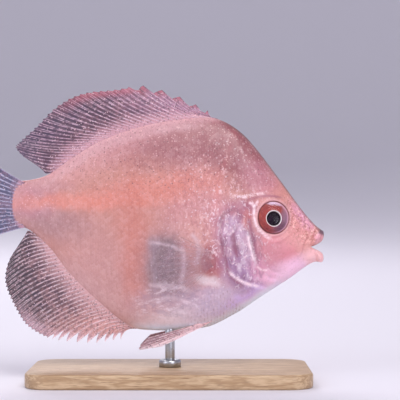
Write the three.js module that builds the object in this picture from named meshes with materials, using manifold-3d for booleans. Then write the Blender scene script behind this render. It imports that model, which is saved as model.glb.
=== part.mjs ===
// A young discus fish as a still, life-size display model, held over a flat base by one short rod.
// Millimetres. +X points to the snout, +Y to the fish's left, +Z up. The origin is the centre of
// the base's underside, so the fish shows its right side to a viewer who looks along +Y.
import * as THREE from "three";
import { mergeVertices } from "three/addons/utils/BufferGeometryUtils.js";
import Module from "manifold-3d";

const wasm = await Module();
wasm.setup();

// Driving dimensions
const GAP = 0.3; // the cut between neighbouring pieces
const TAIL_END_X = -33.1; // where the flesh ends in the tail fin
const TAIL_ROUND = 2.6; // length of the rounded end of the tail stalk
const FAR = 60; // a distance well past the fish
const RINGS = { around: 26, along: 42 }; // facets of the flesh
const SEAT = 0.02; // hair's breadth between the base and what stands on it

// The outline of the flesh, seen from the side: [x, z] from tail to snout
const BACK = [
  [-33.1, 41.7], [-29.1, 41.9], [-25.2, 43.1], [-20.8, 46.4], [-14.6, 50.2], [-6.2, 53.2],
  [2.1, 54.7], [8.3, 54.9], [12.5, 53.4], [16.6, 50.0], [22.9, 41.9], [28.1, 34.9], [32.2, 30.4],
];
const BELLY = [
  [-33.1, 31.9], [-29.5, 31.5], [-25.0, 27.2], [-20.8, 21.6], [-14.6, 15.8], [-8.3, 11.3],
  [-3.0, 10.5], [3.0, 10.7], [8.3, 11.4], [14.6, 14.6], [19.1, 17.6], [25.0, 21.4], [29.5, 24.5],
  [32.2, 24.9],
];
// Half of the body's width, the level where it is widest, and how sharp its upper and lower edges are
const HALF_WIDTH = [
  [-33.1, 0.9], [-28, 1.45], [-22, 2.2], [-14, 3.3], [-6, 4.3], [2, 5.0], [8, 5.4], [13, 5.6],
  [18, 5.25], [22, 4.55], [26, 3.5], [29, 2.65], [32.2, 1.75],
];
const WIDEST_LEVEL = [
  [-33.1, 36.7], [-20, 35.8], [-8, 34.0], [4, 31.6], [14, 30.2], [21, 29.9], [26, 28.8], [28.3, 28.1],
  [32.2, 28.05],
];
const BACK_SHARPNESS = [[-33.1, 0.9], [-20, 1.25], [4, 1.3], [14, 1.05], [22, 0.95], [32.2, 0.8]];
const BELLY_SHARPNESS = [[-33.1, 0.9], [-20, 1.25], [-6, 1.0], [4, 0.85], [14, 0.8], [32.2, 0.85]];

// The mouth, slightly open
const MOUTH = {
  level: 27.95, // height of the slit
  cornerX: 29.2, // its corner, seen from the side
  lipX: 31.35, // where the lips turn in
  halfOpening: 0.8,
  lipRound: 0.75, // how far the lips' front stands out
  cornerRound: 0.15,
  innerShare: 0.72, // the opening's width against the snout's
  throatX: 26.2,
};

// The eyes are flattened globes set in sockets
const EYE = { x: 21.3, y: 3.0, z: 34.05, halfLength: 3.45, halfDepth: 1.9, halfHeight: 3.4 };

// The gill cover is a tilted plate behind the cheek
const GILL = {
  x: 14.5, z: 27.7, halfHeight: 8.3, halfLength: 3.7, lean: 20, squareness: 2.4, inner: 3.9, proud: 0.2,
};

// Where the head ends behind the gill covers, and where the tail stalk begins: [x, z]
const SHOULDER_CUT = [[10.9, 58], [9.0, 46], [8.2, 35], [9.2, 27], [11.6, 21.5], [16, 10]];
const TAIL_CUT_X = -26.3;
// The lower jaw runs back from the mouth's corner to its hinge, and the upper jaw is the front lip
const LOWER_JAW_CUT = [[34, 28.05], [28.1, 28.05], [25.3, 25.2], [24.2, 19.5], [34, 19.5]];
const UPPER_JAW_CUT = [[34, 28.05], [28.5, 28.05], [28.8, 29.3], [29.6, 31.4], [30.2, 33.5], [34, 33.5]];

// Unpaired fins: each ray is [place, x of its root, x and z of its tip], place running from 0 at the
// front ray to 1 at the last one. Roots lie on the outline of the flesh.
const DORSAL = {
  spines: 9, softRays: 31, bow: 0.25, notch: 0.9, rootHalf: 0.62, tipHalf: 0.27,
  rays: [
    [0, 9.8, 7.9, 56.3], [0.06, 8.9, 4.9, 57.8], [0.14, 6.8, -0.6, 60.2], [0.22, 4.2, -6.6, 61.6],
    [0.3, 0.6, -11.4, 60.9], [0.42, -5.2, -18.0, 60.0], [0.54, -9.4, -23.4, 57.3],
    [0.66, -13.4, -28.2, 52.9], [0.76, -16.8, -31.6, 50.0], [0.85, -20.0, -32.4, 48.6],
    [0.93, -22.8, -30.4, 46.6], [1, -25.0, -26.2, 44.2],
  ],
};
const ANAL = {
  spines: 8, softRays: 28, bow: 0.8, notch: 1.0, rootHalf: 0.62, tipHalf: 0.27,
  rays: [
    [0, -7.0, -10.2, 8.6], [0.1, -9.1, -16.2, 7.9], [0.2, -12.2, -23.3, 8.4],
    [0.3, -14.6, -26.8, 9.5], [0.42, -17.7, -30.2, 11.4], [0.54, -20.2, -32.2, 14.4],
    [0.66, -22.4, -33.7, 18.0], [0.78, -24.4, -34.4, 21.6], [0.88, -26.2, -33.6, 25.0],
    [0.95, -27.6, -31.6, 28.0], [1, -28.6, -29.7, 30.1],
  ],
};
const TAIL_FIN = {
  rays: 16, bow: 0, notch: 0.25, rootHalf: 0.7, tipHalf: 0.26, length: 15.6,
  stalkLevel: 36.7, stalkHalfHeight: 4.95, endPower: 2.3,
  top: { rootZ: 41.3, tip: [-44.6, 50.4] }, bottom: { rootZ: 32.0, tip: [-45.6, 27.2] },
  rootRound: 1.9, tipRound: 3.6,
};

// Paired fins
const PECTORAL = {
  rays: 12, root: [8.7, 5.55, 25.6], rootHeight: 2.9, length: 13.2, flare: 36, spread: 62, droop: 8,
  rootHalf: 0.4, tipHalf: 0.25,
};
const PELVIC = {
  spines: 1, softRays: 5, rootY: 1.8, tipY: 3.1, rootHalf: 0.5, tipHalf: 0.26,
  rays: [[0, 8.9, -1.2, 7.6], [0.35, 8.2, -6.0, 7.1], [0.7, 7.2, -5.4, 7.7], [1, 6.3, -3.6, 8.6]],
};

// The stand
const BASE = { length: 58, width: 30, thickness: 3, corner: 5, chamfer: 0.4 };
const ROD = { x: 0, radius: 1.0, topZ: 13.2 };
const COLLAR = { radius: 2.3, height: 1.5, chamfer: 0.35 };

// Colours and finishes
const finish = (color, roughness, metalness = 0) =>
  new THREE.MeshStandardMaterial({ color, roughness, metalness });
const SKIN = finish(0xcf9490, 0.38);
const CHEEK = finish(0xd79dac, 0.3);
const LIPS = finish(0xe09c8c, 0.4);
const FIN = finish(0xa78a9c, 0.45);
const CLEAR_FIN = finish(0xb9b4c8, 0.3);
const IRIS = finish(0x8c2f2c, 0.1);
const WOOD = finish(0xbc9e7c, 0.5);
const STEEL = finish(0xb8bcc0, 0.3, 1);

// A smooth curve through [x, value] points in rising x
function smoothCurve(points) {
  const last = points.length - 1;
  const slope = (i) => {
    const a = points[Math.max(i - 1, 0)];
    const b = points[Math.min(i + 1, last)];
    return (b[1] - a[1]) / (b[0] - a[0]);
  };
  return (x) => {
    let i = 0;
    while (i < last - 1 && x > points[i + 1][0]) i += 1;
    const [x0, v0] = points[i];
    const [x1, v1] = points[i + 1];
    const step = x1 - x0;
    const t = THREE.MathUtils.clamp((x - x0) / step, 0, 1);
    const rest = 1 - t;
    return (
      v0 * rest * rest * (1 + 2 * t) + v1 * t * t * (3 - 2 * t) +
      slope(i) * step * t * rest * rest - slope(i + 1) * step * t * t * rest
    );
  };
}

const backAt = smoothCurve(BACK);
const bellyAt = smoothCurve(BELLY);
const halfWidthAt = smoothCurve(HALF_WIDTH);
const widestLevelAt = smoothCurve(WIDEST_LEVEL);
const backSharpnessAt = smoothCurve(BACK_SHARPNESS);
const bellySharpnessAt = smoothCurve(BELLY_SHARPNESS);

// A point of the flesh at length x and angle round the body, 0 at its left side and a quarter turn
// at its back. grow widens the body.
function fleshPoint(x, angle, grow = 0) {
  const up = Math.sin(angle);
  const across = Math.cos(angle);
  const level = widestLevelAt(x);
  const reach = up > 0 ? backAt(x) - level : level - bellyAt(x);
  const sharpness = up > 0 ? backSharpnessAt(x) : bellySharpnessAt(x);
  const past = THREE.MathUtils.clamp(1 - (x - TAIL_END_X) / TAIL_ROUND, 0, 1);
  const close = Math.pow(Math.max(1 - Math.pow(past, 2.3), 0), 1 / 2.3);
  const width = (halfWidthAt(x) + grow) * Math.pow(Math.abs(across), sharpness);
  return new THREE.Vector3(x, Math.sign(across) * width * close, level + reach * up * close);
}

// The whole flesh: a sphere whose poles are the tail's end and the back of the mouth. Its rings run
// forward over the outside, turn in round the lips and go back into the mouth.
function fleshGeometry(around, along, grow = 0) {
  const OUTSIDE = 0.84; // share of the rings on the outside
  const LIPS_END = 0.94;
  const CROWDING = 0.6; // rings stand closer together near both ends
  const ball = new THREE.SphereGeometry(1, around, along);
  const place = ball.getAttribute("position");
  const point = new THREE.Vector3();
  const throat = new THREE.Vector3(MOUTH.throatX, 0, MOUTH.level);
  for (let i = 0; i < place.count; i += 1) {
    point.fromBufferAttribute(place, i);
    const share = Math.acos(THREE.MathUtils.clamp(-point.y, -1, 1)) / Math.PI;
    const angle = Math.atan2(point.x, point.z);
    const height = Math.abs(Math.sin(angle));
    const lipX = MOUTH.cornerX + (MOUTH.lipX - MOUTH.cornerX) * Math.pow(height, 0.7);
    const outer = fleshPoint(lipX, angle, grow);
    const inner = new THREE.Vector3(
      lipX - 0.3, outer.y * MOUTH.innerShare, MOUTH.level + Math.sin(angle) * MOUTH.halfOpening,
    );
    if (share <= OUTSIDE) {
      const t = share / OUTSIDE;
      const eased = t - (CROWDING * Math.sin(2 * Math.PI * t)) / (2 * Math.PI);
      point.copy(fleshPoint(TAIL_END_X + (lipX - TAIL_END_X) * eased, angle, grow));
    } else if (share <= LIPS_END) {
      const turn = (Math.PI * (share - OUTSIDE)) / (LIPS_END - OUTSIDE);
      const forward = MOUTH.cornerRound + (MOUTH.lipRound - MOUTH.cornerRound) * height;
      point.copy(outer).lerp(inner, (1 - Math.cos(turn)) / 2);
      point.x += forward * Math.sin(turn);
    } else {
      point.copy(inner).lerp(throat, (share - LIPS_END) / (1 - LIPS_END));
    }
    place.setXYZ(i, point.x, point.y, point.z);
  }
  return ball;
}

// A geometry as a solid whose faces look outward
function solidOf(geometry) {
  const bare = new THREE.BufferGeometry();
  const loose = geometry.index ? geometry.toNonIndexed() : geometry;
  bare.setAttribute("position", loose.getAttribute("position"));
  const merged = mergeVertices(bare, 1e-4);
  const index = merged.index.array;
  const build = (turned) => {
    const triangles = [];
    for (let i = 0; i < index.length; i += 3) {
      const [a, b, c] = [index[i], index[i + 1], index[i + 2]];
      if (a !== b && b !== c && c !== a) triangles.push(a, turned ? c : b, turned ? b : c);
    }
    return new wasm.Manifold(
      new wasm.Mesh({
        numProp: 3,
        vertProperties: merged.getAttribute("position").array,
        triVerts: new Uint32Array(triangles),
      }),
    );
  };
  const solid = build(false);
  return solid.volume() > 0 ? solid : build(true);
}

// A solid as a geometry
function geometryOf(solid) {
  const mesh = solid.getMesh();
  const places = new Float32Array(mesh.numVert * 3);
  for (let i = 0; i < mesh.numVert; i += 1) {
    places.set(mesh.vertProperties.subarray(i * mesh.numProp, i * mesh.numProp + 3), i * 3);
  }
  const geometry = new THREE.BufferGeometry();
  geometry.setAttribute("position", new THREE.BufferAttribute(places, 3));
  geometry.setIndex(new THREE.BufferAttribute(mesh.triVerts, 1));
  geometry.computeVertexNormals();
  return geometry;
}

// A solid that covers an outline of [x, z] points from fromY to toY
function prism(outline, fromY = -FAR, toY = FAR) {
  const shape = new THREE.Shape(outline.map(([x, z]) => new THREE.Vector2(x, z)));
  const geometry = new THREE.ExtrudeGeometry(shape, { depth: toY - fromY, bevelEnabled: false });
  geometry.rotateX(Math.PI / 2);
  geometry.translate(0, toY, 0);
  return solidOf(geometry);
}

// A smooth line through [x, z] points, as more points of the same kind
function smoothLine(points, steps) {
  const curve = new THREE.SplineCurve(points.map(([x, z]) => new THREE.Vector2(x, z)));
  return curve.getPoints(steps).map((p) => [p.x, p.y]);
}

function moved(outline, dx, dz) {
  return outline.map(([x, z]) => [x + dx, z + dz]);
}

// The gill cover's outline, a rounded plate that leans back at its top
function gillOutline(shrink) {
  const STEPS = 24;
  const lean = THREE.MathUtils.degToRad(GILL.lean);
  const outline = [];
  for (let i = 0; i < STEPS; i += 1) {
    const angle = (2 * Math.PI * i) / STEPS;
    const round = (v) => Math.sign(v) * Math.pow(Math.abs(v), 2 / GILL.squareness);
    const along = round(Math.cos(angle)) * (GILL.halfHeight - shrink);
    const across = round(Math.sin(angle)) * (GILL.halfLength - shrink);
    outline.push([
      GILL.x - along * Math.sin(lean) + across * Math.cos(lean),
      GILL.z + along * Math.cos(lean) + across * Math.sin(lean),
    ]);
  }
  return outline;
}

function ellipsoid(halfSizes, centre, around, along) {
  const geometry = new THREE.SphereGeometry(1, around, along);
  geometry.rotateX(Math.PI / 2);
  geometry.scale(...halfSizes);
  geometry.translate(...centre);
  return geometry;
}

function eyeBall(side, grow) {
  return ellipsoid(
    [EYE.halfLength + grow, EYE.halfDepth + grow, EYE.halfHeight + grow],
    [EYE.x, side * EYE.y, EYE.z], 18, 9,
  );
}

// A fin is a closed thin sheet. pointAt(u, v) is its middle, u from ray to ray and v from root to
// tip, halfThickness(u, v) its half thickness and across the direction that it is measured in.
function finGeometry(columns, rows, pointAt, halfThickness, across) {
  const box = new THREE.BoxGeometry(1, 1, 1, columns, rows, 1);
  const place = box.getAttribute("position");
  for (let i = 0; i < place.count; i += 1) {
    const u = place.getX(i) + 0.5;
    const v = place.getY(i) + 0.5;
    const side = Math.sign(place.getZ(i));
    const point = pointAt(u, v).addScaledVector(across, side * halfThickness(u, v));
    place.setXYZ(i, point.x, point.y, point.z);
  }
  return box;
}

// Even columns of a fin are rays and odd ones the membrane between them
function isRay(u, columns) {
  return Math.round(u * columns) % 2 === 0;
}

// Half thickness that thins from root to tip and is a little more on the rays
function rayThickness(fin, columns) {
  const MEMBRANE = 0.82;
  return (u, v) => {
    const half = fin.rootHalf + (fin.tipHalf - fin.rootHalf) * Math.pow(v, 0.6);
    return Math.max(half * (isRay(u, columns) ? 1 : MEMBRANE), 0.25);
  };
}

// A dorsal or anal fin, standing on an edge of the flesh. outward is +1 above and -1 below.
function edgeFin(fin, edgeAt, outward) {
  const ROWS = 3;
  const rays = fin.spines + fin.softRays;
  const columns = 2 * (rays - 1);
  const rootX = smoothCurve(fin.rays.map(([place, x]) => [place, x]));
  const tipX = smoothCurve(fin.rays.map(([place, , x]) => [place, x]));
  const tipZ = smoothCurve(fin.rays.map(([place, , , z]) => [place, z]));
  const spinyShare = (fin.spines - 1) / (rays - 1);
  const pointAt = (u, v) => {
    const x = rootX(u);
    const slope = (edgeAt(x + 0.1) - edgeAt(x - 0.1)) / 0.2;
    const lift = outward * GAP * Math.sqrt(1 + slope * slope);
    const root = new THREE.Vector2(x, edgeAt(x) + lift);
    const tip = new THREE.Vector2(tipX(u), tipZ(u));
    const ray = tip.clone().sub(root);
    const notch = isRay(u, columns) ? 0 : fin.notch * (u < spinyShare ? 1 : 0.3);
    const reach = v * (1 - Math.min(notch / ray.length(), 0.5) * v);
    const bow = outward * fin.bow * 4 * v * (1 - v);
    const normal = new THREE.Vector2(-ray.y, ray.x).normalize().multiplyScalar(Math.sign(-ray.x));
    const flat = root.addScaledVector(ray, reach).addScaledVector(normal, -bow);
    return new THREE.Vector3(flat.x, 0, flat.y);
  };
  const across = new THREE.Vector3(0, 1, 0);
  return finGeometry(columns, ROWS, pointAt, rayThickness(fin, columns), across);
}

// The tail fin is a fan whose rays spread from the rounded end of the tail stalk
function tailFinGeometry() {
  const ROWS = 3;
  const fin = TAIL_FIN;
  const columns = 2 * (fin.rays - 1);
  const pointAt = (u, v) => {
    const round = 1 - Math.pow(2 * u - 1, 2);
    const rootZ = fin.top.rootZ + (fin.bottom.rootZ - fin.top.rootZ) * u;
    const past = Math.abs(rootZ - fin.stalkLevel) / fin.stalkHalfHeight;
    const inset = Math.pow(Math.max(1 - Math.pow(past, fin.endPower), 0), 1 / fin.endPower);
    const rootX = TAIL_END_X + TAIL_ROUND * (1 - inset) - GAP * 1.6;
    const tipX = fin.top.tip[0] + (fin.bottom.tip[0] - fin.top.tip[0]) * u - fin.tipRound * round;
    const tipZ = fin.top.tip[1] + (fin.bottom.tip[1] - fin.top.tip[1]) * u;
    const notch = isRay(u, columns) ? 0 : fin.notch;
    const x = rootX + (tipX + notch * v - rootX) * v;
    const z = rootZ + (tipZ - rootZ) * Math.pow(v, 1.1);
    return new THREE.Vector3(x, 0, z);
  };
  const across = new THREE.Vector3(0, 1, 0);
  return finGeometry(columns, ROWS, pointAt, rayThickness(fin, columns), across);
}

// A pectoral fin: a small fan that is held out from the side behind the gill cover
function pectoralGeometry(side) {
  const ROWS = 3;
  const fin = PECTORAL;
  const columns = 2 * (fin.rays - 1);
  const flare = THREE.MathUtils.degToRad(fin.flare);
  const back = new THREE.Vector3(-Math.cos(flare), side * Math.sin(flare), 0);
  const across = new THREE.Vector3(Math.sin(flare), side * Math.cos(flare), 0);
  const lengthAt = (u) => fin.length * (0.62 + 0.38 * Math.sin(Math.PI * Math.pow(1 - u, 0.8)));
  const pointAt = (u, v) => {
    const turn = THREE.MathUtils.degToRad(fin.spread * (0.5 - u) - fin.droop);
    const reach = lengthAt(u) * v * (isRay(u, columns) ? 1 : 1 - 0.03 * v);
    const point = new THREE.Vector3(fin.root[0], side * fin.root[1], fin.root[2]);
    point.z += (0.5 - u) * fin.rootHeight + reach * Math.sin(turn);
    return point.addScaledVector(back, reach * Math.cos(turn));
  };
  return finGeometry(columns, ROWS, pointAt, rayThickness(fin, columns), across);
}

// The height of the flesh's underside at x and y
function undersideAt(x, y) {
  const level = widestLevelAt(x);
  const across = Math.pow(Math.abs(y) / halfWidthAt(x), 1 / bellySharpnessAt(x));
  return level - (level - bellyAt(x)) * Math.sqrt(Math.max(1 - across * across, 0));
}

// A pelvic fin: a narrow folded fan that trails back under the belly, its front ray a short spine
function pelvicGeometry(side) {
  const ROWS = 5;
  const fin = PELVIC;
  const columns = 2 * (fin.spines + fin.softRays - 1);
  const rootX = smoothCurve(fin.rays.map(([place, x]) => [place, x]));
  const tipX = smoothCurve(fin.rays.map(([place, , x]) => [place, x]));
  const tipZ = smoothCurve(fin.rays.map(([place, , , z]) => [place, z]));
  const across = new THREE.Vector3(0, 1, 0);
  const pointAt = (u, v) => {
    const y = fin.rootY + (fin.tipY - fin.rootY) * v;
    const x = rootX(u) + (tipX(u) - rootX(u)) * v;
    const rootZ = undersideAt(rootX(u), fin.rootY - fin.rootHalf) - GAP;
    const clear = undersideAt(x, y - fin.rootHalf) - GAP;
    return new THREE.Vector3(x, side * y, Math.min(rootZ + (tipZ(u) - rootZ) * v, clear));
  };
  return finGeometry(columns, ROWS, pointAt, rayThickness(fin, columns), across);
}

// The flesh, whole and then parted
function fleshPieces() {
  const whole = solidOf(fleshGeometry(RINGS.around, RINGS.along));
  const proud = solidOf(fleshGeometry(RINGS.around, RINGS.along, GILL.proud));
  const cut = smoothLine(SHOULDER_CUT, 14);
  const front = [...cut, [FAR, 10], [FAR, 58]];
  const behind = [...moved(cut, -GAP, 0), [TAIL_CUT_X, 0], [TAIL_CUT_X, 58]];
  const tailEnd = [[TAIL_CUT_X - GAP, 0], [TAIL_CUT_X - GAP, 58], [-FAR, 58], [-FAR, 0]];

  let head = whole.intersect(prism(front));
  head = head.subtract(prism(LOWER_JAW_CUT)).subtract(prism(UPPER_JAW_CUT));
  for (const side of [-1, 1]) {
    head = head.subtract(solidOf(eyeBall(side, GAP)));
    const inner = side * (GILL.inner - GAP);
    const pocket = prism(gillOutline(0), Math.min(inner, side * FAR), Math.max(inner, side * FAR));
    head = head.subtract(pocket);
  }
  const gillCover = (side) => {
    const inner = side * GILL.inner;
    const range = [Math.min(inner, side * FAR), Math.max(inner, side * FAR)];
    return proud.intersect(prism(gillOutline(GAP), ...range));
  };
  const lowerJaw = whole.intersect(prism(moved(LOWER_JAW_CUT, GAP, -GAP / 2)));
  const upperJaw = whole.intersect(prism(moved(UPPER_JAW_CUT, 1.1 * GAP, 0)));
  const hole = new THREE.CylinderGeometry(ROD.radius + GAP, ROD.radius + GAP, ROD.topZ + GAP, 20);
  hole.rotateX(Math.PI / 2);
  hole.translate(ROD.x, 0, (ROD.topZ + GAP) / 2);
  const trunk = whole.intersect(prism(behind)).subtract(solidOf(hole));
  const tailStalk = whole.intersect(prism(tailEnd));
  return {
    head, trunk, tailStalk, lowerJaw, upperJaw,
    gillRight: gillCover(-1), gillLeft: gillCover(1),
  };
}

// The stand: a flat base with chamfered edges, a collar and a rod
function baseGeometry() {
  const { length, width, thickness, corner, chamfer } = BASE;
  const x = length / 2 - chamfer;
  const y = width / 2 - chamfer;
  const r = corner - chamfer;
  const outline = new THREE.Shape();
  outline.moveTo(x - r, -y);
  outline.absarc(x - r, -y + r, r, -Math.PI / 2, 0);
  outline.absarc(x - r, y - r, r, 0, Math.PI / 2);
  outline.absarc(-x + r, y - r, r, Math.PI / 2, Math.PI);
  outline.absarc(-x + r, -y + r, r, Math.PI, 1.5 * Math.PI);
  const slab = new THREE.ExtrudeGeometry(outline, {
    depth: thickness - 2 * chamfer,
    bevelThickness: chamfer,
    bevelSize: chamfer,
    bevelSegments: 1,
    curveSegments: 4,
  });
  slab.translate(0, 0, chamfer);
  return slab;
}

function collarGeometry() {
  const { radius, height, chamfer } = COLLAR;
  const inner = ROD.radius + GAP;
  const low = BASE.thickness + SEAT;
  const profile = [
    [inner, low], [radius, low], [radius, low + height - chamfer],
    [radius - chamfer, low + height], [inner, low + height], [inner, low],
  ];
  const ring = new THREE.LatheGeometry(profile.map(([r, z]) => new THREE.Vector2(r, z)), 20);
  ring.rotateX(Math.PI / 2);
  ring.translate(ROD.x, 0, 0);
  return ring;
}

function rodGeometry() {
  const low = BASE.thickness + SEAT;
  const rod = new THREE.CylinderGeometry(ROD.radius, ROD.radius, ROD.topZ - low, 20);
  rod.rotateX(Math.PI / 2);
  rod.translate(ROD.x, 0, (ROD.topZ + low) / 2);
  return rod;
}

const fish = new THREE.Group();
fish.name = "discus_fish_on_stand";

function add(name, geometry, material) {
  const mesh = new THREE.Mesh(geometry, material);
  mesh.name = name;
  fish.add(mesh);
}

const flesh = fleshPieces();
add("head", geometryOf(flesh.head), SKIN);
add("upper_jaw", geometryOf(flesh.upperJaw), LIPS);
add("lower_jaw", geometryOf(flesh.lowerJaw), LIPS);
add("gill_cover_right", geometryOf(flesh.gillRight), CHEEK);
add("gill_cover_left", geometryOf(flesh.gillLeft), CHEEK);
add("trunk", geometryOf(flesh.trunk), SKIN);
add("tail_stalk", geometryOf(flesh.tailStalk), SKIN);
add("dorsal_fin", geometryOf(solidOf(edgeFin(DORSAL, backAt, 1))), FIN);
add("anal_fin", geometryOf(solidOf(edgeFin(ANAL, bellyAt, -1))), FIN);
add("tail_fin", geometryOf(solidOf(tailFinGeometry())), CLEAR_FIN);
for (const [word, side] of [["right", -1], ["left", 1]]) {
  add(`eye_${word}`, geometryOf(solidOf(eyeBall(side, 0))), IRIS);
  add(`pectoral_fin_${word}`, geometryOf(solidOf(pectoralGeometry(side))), CLEAR_FIN);
  add(`pelvic_fin_${word}`, geometryOf(solidOf(pelvicGeometry(side))), FIN);
}
add("stand_base", geometryOf(solidOf(baseGeometry())), WOOD);
add("stand_collar", geometryOf(solidOf(collarGeometry())), STEEL);
add("stand_rod", geometryOf(solidOf(rodGeometry())), STEEL);

export default fish;
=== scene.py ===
"""A young discus fish as a still, life-size display model on a flat base with one short rod.

Metres, +X to the snout, +Y to the fish's left, +Z up. Sizes of the fish's parts are written in
millimetres and turned into metres where a mesh is made.
"""

import logging
import math
from collections.abc import Callable
from dataclasses import dataclass, field
from enum import Enum

import bmesh
import bpy
import numpy as np
from mathutils import Matrix, Vector

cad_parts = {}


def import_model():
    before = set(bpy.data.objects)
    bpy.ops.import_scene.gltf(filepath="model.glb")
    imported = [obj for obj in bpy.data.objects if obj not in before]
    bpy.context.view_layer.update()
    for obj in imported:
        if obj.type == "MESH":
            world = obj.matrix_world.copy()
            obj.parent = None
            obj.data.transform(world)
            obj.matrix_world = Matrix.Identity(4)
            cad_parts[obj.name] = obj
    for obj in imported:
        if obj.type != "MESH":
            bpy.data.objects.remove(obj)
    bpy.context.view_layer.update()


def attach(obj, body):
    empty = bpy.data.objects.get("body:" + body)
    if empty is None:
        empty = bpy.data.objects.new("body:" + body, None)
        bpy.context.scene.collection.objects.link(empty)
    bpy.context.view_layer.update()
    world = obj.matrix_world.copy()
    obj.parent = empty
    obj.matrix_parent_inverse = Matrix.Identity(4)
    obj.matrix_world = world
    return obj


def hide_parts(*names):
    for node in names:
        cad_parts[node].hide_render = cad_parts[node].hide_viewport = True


MM = 0.001
NO_SQUEEZE = 1000.0
LOG = logging.getLogger("discus")

Array = np.ndarray
Colour = tuple[float, float, float, float]
Line = tuple[tuple[float, float], ...]
Table = tuple[tuple[float, float, float, float], ...]


class Side(Enum):
    """A side of the fish, with its sign on the Y axis."""

    RIGHT = -1
    LEFT = 1

    @property
    def word(self) -> str:
        """The side's name inside a piece's name."""
        return self.name.lower()


def srgb(red: int, green: int, blue: int) -> Colour:
    """Turns a display colour into the linear colour that shaders use.

    Args:
        red: Red from 0 to 255.
        green: Green from 0 to 255.
        blue: Blue from 0 to 255.

    Returns:
        Linear red, green, blue and an alpha of 1.
    """
    linear = [
        c / 12.92 if c <= 0.04045 else ((c + 0.055) / 1.055) ** 2.4
        for c in (red / 255, green / 255, blue / 255)
    ]
    return (linear[0], linear[1], linear[2], 1.0)


def smooth(low: float, high: float, value: Array) -> Array:
    """A smooth rise from 0 at low to 1 at high."""
    share = np.clip((value - low) / (high - low), 0, 1)
    return share * share * (3 - 2 * share)


def bell(value: Array) -> Array:
    """A rounded bump, 1 at 0 and falling away on both sides."""
    return np.exp(-(value**2))


def tapered(along: Array, share: float) -> Array:
    """1 along a line, falling to 0 over a share of its length at each end."""
    return smooth(0, share, along) * smooth(0, share, 1 - along)


class SmoothCurve:
    """A smooth curve through points of rising x."""

    def __init__(self, points: Line) -> None:
        """Works out the slope at each point.

        Args:
            points: Pairs of x and value.
        """
        table = np.array(points, float)
        self.x = table[:, 0]
        self.value = table[:, 1]
        before = np.maximum(np.arange(len(table)) - 1, 0)
        after = np.minimum(np.arange(len(table)) + 1, len(table) - 1)
        self.slope = (self.value[after] - self.value[before]) / (self.x[after] - self.x[before])

    def __call__(self, x: Array) -> Array:
        """The curve's values.

        Args:
            x: Where to read the curve.

        Returns:
            One value for each x.
        """
        i = np.clip(np.searchsorted(self.x, x, side="right") - 1, 0, len(self.x) - 2)
        step = self.x[i + 1] - self.x[i]
        t = np.clip((x - self.x[i]) / step, 0, 1)
        rest = 1 - t
        return (
            self.value[i] * rest * rest * (1 + 2 * t)
            + self.value[i + 1] * t * t * (3 - 2 * t)
            + self.slope[i] * step * t * rest * rest
            - self.slope[i + 1] * step * t * t * rest
        )


def read_table(table: Table, at: Array) -> list[Array]:
    """Reads a table's columns as smooth curves over its first one."""
    columns = range(1, len(table[0]))
    return [SmoothCurve(tuple((row[0], row[i]) for row in table))(at) for i in columns]


def sideways(places: Array) -> Array:
    """The direction across an upright fin, one for each place."""
    return np.tile([0.0, 1.0, 0.0], (len(places), 1))


@dataclass(frozen=True)
class Stroke:
    """A smooth line drawn on the fish's side, as x and z."""

    points: Line
    steps: int = 5

    def fine(self) -> Array:
        """The line's points, rounded by a Catmull-Rom curve."""
        knots = np.array([self.points[0], *self.points, self.points[-1]], float)
        t = np.linspace(0, 1, self.steps, endpoint=False)[:, None]
        out = []
        for a, b, c, d in zip(knots, knots[1:], knots[2:], knots[3:]):
            out.append(
                0.5 * (2 * b + (c - a) * t + (2 * a - 5 * b + 4 * c - d) * t**2
                       + (3 * b - a - 3 * c + d) * t**3)
            )
        return np.vstack([*out, knots[-1:]])

    def measure(self, x: Array, z: Array) -> tuple[Array, Array, Array]:
        """How places lie against the line.

        Args:
            x: Places along the fish.
            z: Their heights.

        Returns:
            Each place's distance, the side it is on (+1 to the left of the line's direction), and
            how far along the line its nearest point is, from 0 to 1.
        """
        line = self.fine()
        nearest = np.full(x.shape, 1e9)
        side = np.ones(x.shape)
        along = np.zeros(x.shape)
        count = len(line) - 1
        for i in range(count):
            (ax, az), (bx, bz) = line[i], line[i + 1]
            dx, dz = bx - ax, bz - az
            t = np.clip(((x - ax) * dx + (z - az) * dz) / (dx * dx + dz * dz), 0, 1)
            distance = np.hypot(x - ax - t * dx, z - az - t * dz)
            closer = distance < nearest
            nearest = np.where(closer, distance, nearest)
            turn = np.sign(dx * (z - az) - dz * (x - ax))
            side = np.where(closer, np.where(turn == 0, 1, turn), side)
            along = np.where(closer, (i + t) / count, along)
        return nearest, side, along


@dataclass(frozen=True)
class Crease:
    """A ridge or groove in the skin."""

    stroke: Stroke
    height: float
    width: float

    def lift(self, x: Array, z: Array) -> Array:
        """How far the skin is raised, in millimetres.

        Args:
            x: Places along the fish.
            z: Their heights.

        Returns:
            The rise at each place, below zero in a groove.
        """
        distance, _, along = self.stroke.measure(x, z)
        return self.height * bell(distance / self.width) * tapered(along, 0.12)


@dataclass(frozen=True)
class PlateEdge:
    """The free edge of a bony plate, which stands proud of what is behind it."""

    stroke: Stroke
    proud: float
    reach: float
    groove: float
    groove_at: float = -0.35
    groove_half: float = 0.4

    def lift(self, x: Array, z: Array) -> Array:
        """How far the plate and the groove along its edge move the skin.

        Args:
            x: Places along the fish.
            z: Their heights.

        Returns:
            The rise at each place in millimetres. The plate is on the line's left.
        """
        distance, side, along = self.stroke.measure(x, z)
        signed = distance * side
        plate = self.proud * smooth(-0.12, 0.18, signed) * bell(distance / self.reach)
        behind = self.groove * bell((signed - self.groove_at) / self.groove_half)
        return (plate - behind) * tapered(along, 0.1)


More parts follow.
